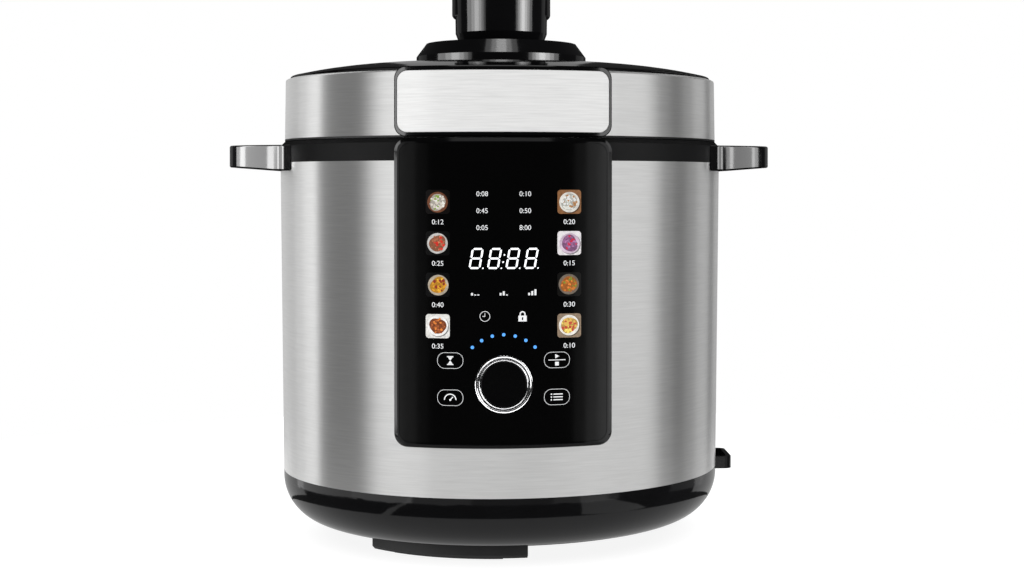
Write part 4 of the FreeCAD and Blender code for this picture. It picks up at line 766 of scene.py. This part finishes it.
class LightDisplay(bpy.types.Operator):
    """Lays the four lit digits with their points and colon"""

    bl_idname = "cooker.light_display"
    bl_label = "Lit digits"

    slant = math.tan(math.radians(10.0))
    # Shares of a segment's stroke
    gap_share = 0.25
    point_share = 0.42
    colon_share = 0.45
    # Share of the step between digits, and of a digit's height
    point_step = 0.46
    colon_reach = 0.17

    def execute(self, context):
        sizes = context.scene.cooker_panel
        sheet = PanelPrint()
        for place in range(4):
            self.draw_digit(sheet, (place - 1.5) * sizes.digit_pitch, sizes)
        self.draw_colon(sheet, sizes)
        for vertex in sheet.flat.verts:
            vertex.co.x += (vertex.co.z - sizes.digit_centre) * self.slant
        lit = printed("lit_segment", (0.95, 0.97, 1.0), DIGIT_GLOW)
        finish_print(sheet, "display_digits", [lit], lens_surface(), sizes)
        return {"FINISHED"}

    def draw_digit(self, sheet, x, sizes):
        half_width = (sizes.digit_width - sizes.digit_stroke) / 2
        half_height = (sizes.digit_height - sizes.digit_stroke) / 2
        gap = sizes.digit_stroke * self.gap_share
        point = sizes.digit_stroke / 2
        for level in (-1, 0, 1):
            z = sizes.digit_centre + level * half_height
            left = x - half_width + gap
            right = x + half_width - gap
            sheet.area(
                [
                    (left, z), (left + point, z - point), (right - point, z - point),
                    (right, z), (right - point, z + point), (left + point, z + point),
                ]
            )
        for side in (-1, 1):
            for half in (-1, 0):
                low = sizes.digit_centre + half * half_height + gap
                high = low + half_height - 2 * gap
                middle = x + side * half_width
                sheet.area(
                    [
                        (middle, low), (middle + point, low + point), (middle + point, high - point),
                        (middle, high), (middle - point, high - point), (middle - point, low + point),
                    ]
                )
        dot = sizes.digit_stroke * self.point_share
        low = sizes.digit_centre - sizes.digit_height / 2 + dot
        sheet.area(circle(x + sizes.digit_pitch * self.point_step, low, dot, 12))

    def draw_colon(self, sheet, sizes):
        dot = sizes.digit_stroke * self.colon_share
        reach = sizes.digit_height * self.colon_reach
        for side in (-1, 1):
            sheet.area(circle(0.0, sizes.digit_centre + side * reach, dot, 12))


class LaySigns(bpy.types.Operator):
    """Lays the level marks, the clock, the padlock and the signs in the touch keys"""

    bl_idname = "cooker.lay_signs"
    bl_label = "Signs"

    # Shares of a sign's size
    line_share = 0.13
    thin_share = 0.1

    def execute(self, context):
        sizes = context.scene.cooker_panel
        sheet = PanelPrint()
        for level in (1, 2, 3):
            self.draw_level(sheet, level, (level - 2) * sizes.level_column, sizes)
        self.draw_clock(sheet, -sizes.sign_column, sizes.sign_height, sizes.sign_size / 2)
        self.draw_padlock(sheet, sizes.sign_column, sizes.sign_height, sizes.sign_size)
        upper = sizes.key_centre + sizes.key_pitch / 2
        lower = sizes.key_centre - sizes.key_pitch / 2
        size = sizes.key_height * 0.5
        self.draw_hourglass(sheet, -sizes.key_column, upper, size)
        self.draw_start_stop(sheet, sizes.key_column, upper, size)
        self.draw_gauge(sheet, -sizes.key_column, lower, size)
        self.draw_bars(sheet, sizes.key_column, lower, size)
        ink = printed("sign_ink", context.scene.cooker_colours.ink, INK_GLOW)
        finish_print(sheet, "panel_signs", [ink], lens_surface(), sizes)
        return {"FINISHED"}

    def draw_level(self, sheet, level, x, sizes):
        width = sizes.caption_height * 0.28
        step = width * 1.6
        for bar in range(3):
            height = sizes.caption_height * (0.35 + 0.25 * bar)
            low = sizes.level_height - sizes.caption_height * 0.45
            left = x + (bar - 1) * step - width / 2
            if bar < level:
                sheet.area(rectangle(left, low, left + width, low + height))
            else:
                sheet.line((left, low + width / 4), (left + width, low + width / 4), width / 2)

    def draw_clock(self, sheet, x, z, radius):
        line = radius * self.thin_share
        sheet.band(circle(x, z, radius, 36), circle(x, z, radius - line, 36))
        sheet.line((x, z - line / 2), (x, z + radius * 0.62), line)
        sheet.line((x - line / 2, z), (x - radius * 0.5, z), line)

    def draw_padlock(self, sheet, x, z, size):
        body = size * 0.56
        low = z - size / 2
        high = low + body
        half = size * 0.4
        slot = size * 0.07
        slot_low = low + body * 0.52 - slot * 2.2
        slot_high = low + body * 0.52 + slot * 1.6
        sheet.area(rectangle(x - half, low, x - slot, high))
        sheet.area(rectangle(x + slot, low, x + half, high))
        sheet.area(rectangle(x - slot, slot_high, x + slot, high))
        sheet.area(rectangle(x - slot, low, x + slot, slot_low))
        bow = []
        for radius in (size * 0.29, size * 0.17):
            arc = circle(x, low + size * 0.7, radius, 14, 0.0, math.pi)
            bow.append([(x + radius, high), *arc, (x - radius, high)])
        sheet.band(*bow, closed=False)

    def draw_hourglass(self, sheet, x, z, size):
        half = size / 2
        line = size * self.line_share
        for end in (-1, 1):
            rim = z + end * half
            sheet.line((x - half * 0.8, rim), (x + half * 0.8, rim), line)
            mouth = z + end * half * 0.82
            points = [(x, z), (x + half * 0.6, mouth), (x - half * 0.6, mouth)]
            sheet.area(points if end > 0 else points[::-1])

    def draw_start_stop(self, sheet, x, z, size):
        line = size * self.thin_share
        half = size * 0.28
        sheet.line((x - size * 1.1, z), (x + size * 1.1, z), line)
        top = z + size * 0.48
        sheet.area([(x - half * 0.8, top - half), (x + half, top), (x - half * 0.8, top + half)])
        low = z - size * 0.48
        side = half * 0.85
        sheet.area(rectangle(x - side, low - side, x + side, low + side))

    def draw_gauge(self, sheet, x, z, size):
        low = z - size * 0.28
        radius = size * 0.8
        line = size * self.line_share
        outer = circle(x, low, radius, 20, 0.0, math.pi)
        inner = circle(x, low, radius - line, 20, 0.0, math.pi)
        sheet.band(outer, inner, closed=False)
        sheet.line((x, low), (x + radius * 0.45, low + radius * 0.5), line)
        sheet.area(circle(x, low, line, 12))

    def draw_bars(self, sheet, x, z, size):
        for row in (-1, 0, 1):
            level = z + row * size * 0.36
            sheet.line((x - size * 0.45, level), (x + size * 0.75, level), size * self.line_share)
            sheet.area(circle(x - size * 0.72, level, size * 0.1, 10))


class OutlineKeys(bpy.types.Operator):
    """Lays the round-ended outlines of the four touch keys"""

    bl_idname = "cooker.outline_keys"
    bl_label = "Touch key outlines"

    def execute(self, context):
        sizes = context.scene.cooker_panel
        values = {
            "Across": 2 * sizes.key_column,
            "Down": sizes.key_pitch,
            "Width": sizes.key_width,
            "Height": sizes.key_height,
            "Line": sizes.key_line,
            "Ink": printed("key_ink", context.scene.cooker_colours.ink, INK_GLOW),
        }
        mesh = run_tree(outlines_tree(), values)
        lay_mesh(mesh, "key_outlines", lens_surface(), sizes.key_centre)
        return {"FINISHED"}


class LightDots(bpy.types.Operator):
    """Lays the arc of indicator dots over the dial"""

    bl_idname = "cooker.light_dots"
    bl_label = "Indicator dots"

    def execute(self, context):
        sizes = context.scene.cooker_panel
        low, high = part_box("dial_ring")
        values = {
            "Count": sizes.dot_count,
            "Arc Radius": sizes.dot_arc,
            "Step": sizes.dot_step,
            "Dot Radius": sizes.dot_radius,
            "Lamp": printed("dot_lamp", context.scene.cooker_colours.lamp, DOT_GLOW),
        }
        mesh = run_tree(dots_tree(), values)
        lay_mesh(mesh, "indicator_dots", lens_surface(), (low.z + high.z) / 2 + sizes.dot_lift)
        return {"FINISHED"}


# Upright lights on a circle about the body: the group that they light, their low and high end, and strips
# with two angles in degrees right of the front and a brightness
SOFTBOXES = (
    ("steel", -0.4, 2.4, (
        (-180, -128, 0.70), (-128, -119, 0.90), (-119, -111, 1.25), (-111, -105, 1.50), (-105, -99, 0.30),
        (-99, -73, 0.25), (-73, -69, 0.50), (-69, -65, 0.90), (-65, -36, 1.35), (-36, 12, 1.17),
        (12, 60, 1.15), (60, 81, 1.09), (81, 86, 0.80), (86, 96, 0.40), (96, 107, 0.22), (107, 118, 0.40),
        (118, 135, 0.63), (135, 145, 0.25), (145, 180, 0.50),
    )),
    ("face", -0.3, 1.5, (
        (-94, -57, 1.15), (-57, -52, 0.85), (-52, -47, 0.50), (-47, -41, 0.22), (-41, -35, 0.06),
        (34, 40, 0.12), (40, 46, 0.40), (46, 51, 0.80), (51, 56, 1.15), (56, 80, 1.30),
    )),
    ("bezel", -0.3, 1.5, (
        (-160, -115, 1.3), (-94, -57, 1.15), (-57, -52, 0.85), (-52, -47, 0.50), (-47, -41, 0.22),
        (40, 46, 0.40), (46, 51, 0.80), (51, 56, 1.15), (56, 80, 1.30), (115, 160, 0.5),
    )),
    ("dark", 0.0, 0.9, (
        (-94, -80, 3.5), (-80, -70, 6.0), (-70, -58, 9.5), (-58, -51, 6.5), (-51, -45, 3.5), (-45, -40, 1.3),
        (36, 41, 2.0), (41, 46, 5.5), (46, 51, 10.0), (51, 60, 15.0), (60, 67, 10.0), (67, 74, 6.0),
        (74, 82, 2.5), (-150, -120, 0.15), (120, 150, 0.15),
    )),
    ("handle", 0.0, 1.5, (
        (-99, -94, 6.0), (-94, -87, 16.0), (-87, -61, 6.5), (-61, -54, 19.0), (-54, -50, 9.0), (55, 59, 5.5),
        (59, 63, 12.0), (63, 86, 4.0), (86, 90, 9.0), (90, 95, 5.0), (-150, -120, 0.2), (120, 150, 0.2),
    )),
    ("edge", 0.0, 1.5, ((-94, -48, 5.0), (48, 80, 3.0), (-150, -120, 0.15), (120, 150, 0.15))),
    ("dial", -1.2, 0.1, ((-75, -42, 4.0),)),
    ("dial", 0.1, 1.6, ((36, 58, 4.0),)),
    ("cover", 0.0, 1.5, (
        (-94, -80, 0.15), (-80, -70, 0.3), (-70, -58, 0.5), (-58, -51, 0.3), (-51, -40, 0.15),
        (36, 46, 0.15), (46, 51, 0.3), (51, 60, 0.5), (60, 67, 0.3), (67, 82, 0.15),
        (-150, -120, 0.15), (120, 150, 0.15), (174, 186, 0.3),
    )),
    # Low lights that the upper edge of the base reflects
    ("dark", -0.33, -0.05, (
        (-130, -80, 0.7), (-80, -45, 0.9), (-45, -15, 0.3), (-15, 25, 0.12), (25, 60, 0.3), (95, 130, 0.15),
    )),
)
# Pieces that take other lights than their finish would give them
LIT_APART = {
    "steel": ("condensate_cup", "sealing_ring"),
    "face": ("panel_lens", "upper_rim", "dial_cap"),
    "bezel": ("panel_frame",),
    "handle": ("left_handle", "right_handle"),
    "edge": ("plaque_frame", "lid_trim"),
    "dial": ("dial_ring",),
    "cover": ("lid_cover",),
}
STEEL_SLOTS = ("brushed_steel", "plaque_steel", "chrome", "sheet_steel", "screw_steel", "cast_aluminium")
OVERHEAD = (0.0, -0.2, 1.9)
# Flat lights: group, place, tilt in degrees, width, depth and brightness
PANELS = (
    ("dark", OVERHEAD, 0.0, 0.25, 1.4, 3.0),
    ("dark", OVERHEAD, 0.0, 0.5, 1.4, 2.0),
    ("dark", OVERHEAD, 0.0, 0.8, 1.4, 1.2),
    ("cover", OVERHEAD, 0.0, 0.8, 1.4, 1.2),
    ("handle", OVERHEAD, 0.0, 0.8, 1.4, 2.0),
    ("face", OVERHEAD, 0.0, 0.8, 1.4, 0.35),
    ("bezel", OVERHEAD, 0.0, 0.8, 1.4, 0.35),
    ("edge", OVERHEAD, 0.0, 0.8, 1.4, 1.0),
    ("dial", (0.0, -0.4, 1.5), 0.0, 0.5, 0.5, 1.0),
    ("dial", (0.0, -0.7, -0.3), 127.0, 0.9, 0.5, 3.0),
    ("steel", (0.0, 0.0, -MILLIMETRE), 180.0, 0.7, 0.7, 0.3),
)
# Glowing patches under the floor: degrees from the front, distance from the axis, width and length
BOUNCE_PATCHES = (
    (-125.0, 0.29, 0.25, 0.23), (-39.0, 0.288, 0.011, 0.226),
    (38.5, 0.288, 0.081, 0.226), (122.0, 0.29, 0.25, 0.23),
)
BOUNCE_RING = (0.1, 0.175)
BOUNCE_GLOW = 0.5
FLOOR_COLOUR = (0.90, 0.90, 0.90)
FLOOR_LIGHT = 3.7
FLOOR_LIGHT_SPREAD = math.radians(120.0)
FILL_LIGHT = 0.03


class SetStage(bpy.types.Operator):
    """Sets the floor, the camera, the backdrop and the lights"""

    bl_idname = "cooker.set_stage"
    bl_label = "Studio"

    def execute(self, context):
        studio = context.scene.cooker_studio
        self.add_camera(context, studio)
        floor = self.add_floor(context, studio)
        self.add_backdrop(context)
        self.add_lights(context, studio)
        self.add_floor_light(context, floor)
        context.scene.view_settings.view_transform = "Standard"
        return {"FINISHED"}

    def add_camera(self, context, studio):
        lens = bpy.data.cameras.new("photo_camera")
        lens.lens = studio.lens
        lens.shift_x = studio.right / PHOTO_WIDTH
        lens.shift_y = -studio.down / PHOTO_WIDTH
        camera = bpy.data.objects.new("photo_camera", lens)
        camera.location = (studio.side, -studio.distance, studio.eye)
        camera.rotation_euler = (math.pi / 2, 0.0, -studio.turn)
        context.scene.collection.objects.link(camera)
        context.scene.camera = camera

    def add_floor(self, context, studio):
        sheet = bmesh.new()
        bmesh.ops.create_circle(sheet, cap_ends=True, segments=128, radius=studio.floor)
        mesh = bpy.data.meshes.new("floor")
        sheet.to_mesh(mesh)
        sheet.free()
        mesh.materials.append(paper("floor_paper", FLOOR_COLOUR))
        floor = bpy.data.objects.new("floor", mesh)
        context.scene.collection.objects.link(floor)
        floor.visible_glossy = False
        floor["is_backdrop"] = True
        return floor

    def add_backdrop(self, context):
        world = bpy.data.worlds.new("studio")
        world.use_nodes = True
        tree = world.node_tree
        fill = tree.nodes["Background"]
        fill.inputs["Color"].default_value = (FILL_LIGHT, FILL_LIGHT, FILL_LIGHT, 1.0)
        white = add_node(tree, "ShaderNodeBackground", color=(1.0, 1.0, 1.0, 1.0))
        path = add_node(tree, "ShaderNodeLightPath")
        choice = add_node(tree, "ShaderNodeMixShader")
        output = tree.nodes["World Output"]
        tree.links.new(path.outputs["Is Camera Ray"], choice.inputs[0])
        tree.links.new(fill.outputs[0], choice.inputs[1])
        tree.links.new(white.outputs[0], choice.inputs[2])
        tree.links.new(choice.outputs[0], output.inputs["Surface"])
        context.scene.world = world

    def add_lights(self, context, studio):
        groups = self.sort_pieces()
        for label, low, high, strips in SOFTBOXES:
            for first, last, brightness in strips:
                self.add_softbox(context, studio, label, first, last, low, high, brightness, groups[label])
        for label, place, tilt, width, depth, brightness in PANELS:
            turn = (math.radians(tilt), 0.0, 0.0)
            self.add_panel(context, label, place, turn, width, depth, brightness, groups[label])
        self.add_bounce(context, groups["dark"])

    def add_bounce(self, context, group):
        """A glowing ring and patches under the floor, round the foot of the body, for one group alone."""
        for angle, away, width, length in BOUNCE_PATCHES:
            around = math.radians(angle)
            place = (away * math.sin(around), -away * math.cos(around), -MILLIMETRE)
            turn = (math.pi, 0.0, around)
            self.add_panel(context, "bounce", place, turn, width, length, BOUNCE_GLOW, group)
        sheet = bmesh.new()
        for radius in BOUNCE_RING:
            bmesh.ops.create_circle(sheet, segments=96, radius=radius)
        bmesh.ops.bridge_loops(sheet, edges=sheet.edges[:])
        mesh = bpy.data.meshes.new("bounce_ring")
        sheet.to_mesh(mesh)
        sheet.free()
        glow = {"Emission_Color": (1.0, 1.0, 1.0, 1.0), "Emission_Strength": BOUNCE_GLOW}
        mesh.materials.append(start_finish("bounce_glow", (0.0, 0.0, 0.0), 1.0, **glow)[0])
        ring = bpy.data.objects.new("bounce_ring", mesh)
        ring.location.z = -MILLIMETRE
        ring.visible_camera = False
        ring.light_linking.receiver_collection = group
        ring.light_linking.blocker_collection = self.pieces
        context.scene.collection.objects.link(ring)
        ring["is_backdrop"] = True

    def sort_pieces(self):
        """Groups of pieces that are lit apart, by the name of their lights."""
        labels = sorted({row[0] for row in SOFTBOXES})
        groups = {label: bpy.data.collections.new(f"{label}_pieces") for label in labels}
        apart = {node: label for label, nodes in LIT_APART.items() for node in nodes}
        self.pieces = bpy.data.collections.new("pieces")
        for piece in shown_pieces():
            self.pieces.objects.link(piece)
            slot = NODE_SLOTS.get(piece.name)
            label = "steel" if slot in STEEL_SLOTS else "dark" if slot else "face"
            groups[apart.get(piece.name, label)].objects.link(piece)
        return groups

    def add_floor_light(self, context, floor):
        """A wide light on the floor alone, for the shadow."""
        ground = bpy.data.collections.new("ground")
        ground.objects.link(floor)
        lamp = bpy.data.lights.new("floor_light", "SUN")
        lamp.energy = FLOOR_LIGHT
        lamp.angle = FLOOR_LIGHT_SPREAD
        light = bpy.data.objects.new("floor_light", lamp)
        light.light_linking.receiver_collection = ground
        context.scene.collection.objects.link(light)

    def add_softbox(self, context, studio, name, first, last, low, high, brightness, group):
        """An upright light on a circle about the body, between two angles right of the front."""
        middle = math.radians((first + last) / 2)
        width = 2 * studio.reach * math.tan(math.radians(last - first) / 2)
        place = (studio.reach * math.sin(middle), -studio.reach * math.cos(middle), (low + high) / 2)
        turn = (math.pi / 2, 0.0, middle)
        self.add_panel(context, name, place, turn, width, high - low, brightness, group)

    def add_panel(self, context, name, place, turn, width, height, brightness, group):
        """A flat light that shines on one group of pieces alone."""
        lamp = bpy.data.lights.new(name, "AREA")
        lamp.shape = "RECTANGLE"
        lamp.size = width
        lamp.size_y = height
        lamp.energy = brightness * math.pi * width * height
        light = bpy.data.objects.new(name, lamp)
        light.location = place
        light.rotation_euler = turn
        light.visible_camera = False
        light.light_linking.receiver_collection = group
        light.light_linking.blocker_collection = self.pieces
        context.scene.collection.objects.link(light)


OPERATORS = (
    FinishSolids,
    LayTiles,
    LayFigures,
    LightDisplay,
    LaySigns,
    OutlineKeys,
    LightDots,
    SetStage,
)
SETTINGS = {"cooker_panel": PanelSizes, "cooker_colours": CookerColours, "cooker_studio": StudioSizes}


class CookerPanel(bpy.types.Panel):
    """Lists the steps and the settings in the sidebar"""

    bl_idname = "COOKER_PT_looks"
    bl_label = "Pressure cooker"
    bl_space_type = "VIEW_3D"
    bl_region_type = "UI"
    bl_category = "Cooker"

    def draw(self, context):
        for operator in OPERATORS:
            self.layout.operator(operator.bl_idname)
        for settings in SETTINGS:
            group = getattr(context.scene, settings)
            for setting in group.bl_rna.properties.keys():
                if setting not in ("name", "rna_type"):
                    self.layout.prop(group, setting)


def register():
    for kind in (*SETTINGS.values(), *OPERATORS, CookerPanel):
        bpy.utils.register_class(kind)
    for name, kind in SETTINGS.items():
        setattr(bpy.types.Scene, name, PointerProperty(type=kind))


def unregister():
    for name in SETTINGS:
        delattr(bpy.types.Scene, name)
    for kind in (CookerPanel, *reversed(OPERATORS), *SETTINGS.values()):
        bpy.utils.unregister_class(kind)


def main():
    register()
    bpy.ops.cooker.finish_solids()
    bpy.ops.cooker.lay_tiles()
    bpy.ops.cooker.lay_figures()
    bpy.ops.cooker.light_display()
    bpy.ops.cooker.lay_signs()
    bpy.ops.cooker.outline_keys()
    bpy.ops.cooker.light_dots()
    bpy.ops.cooker.set_stage()


if __name__ == "__main__":
    main()
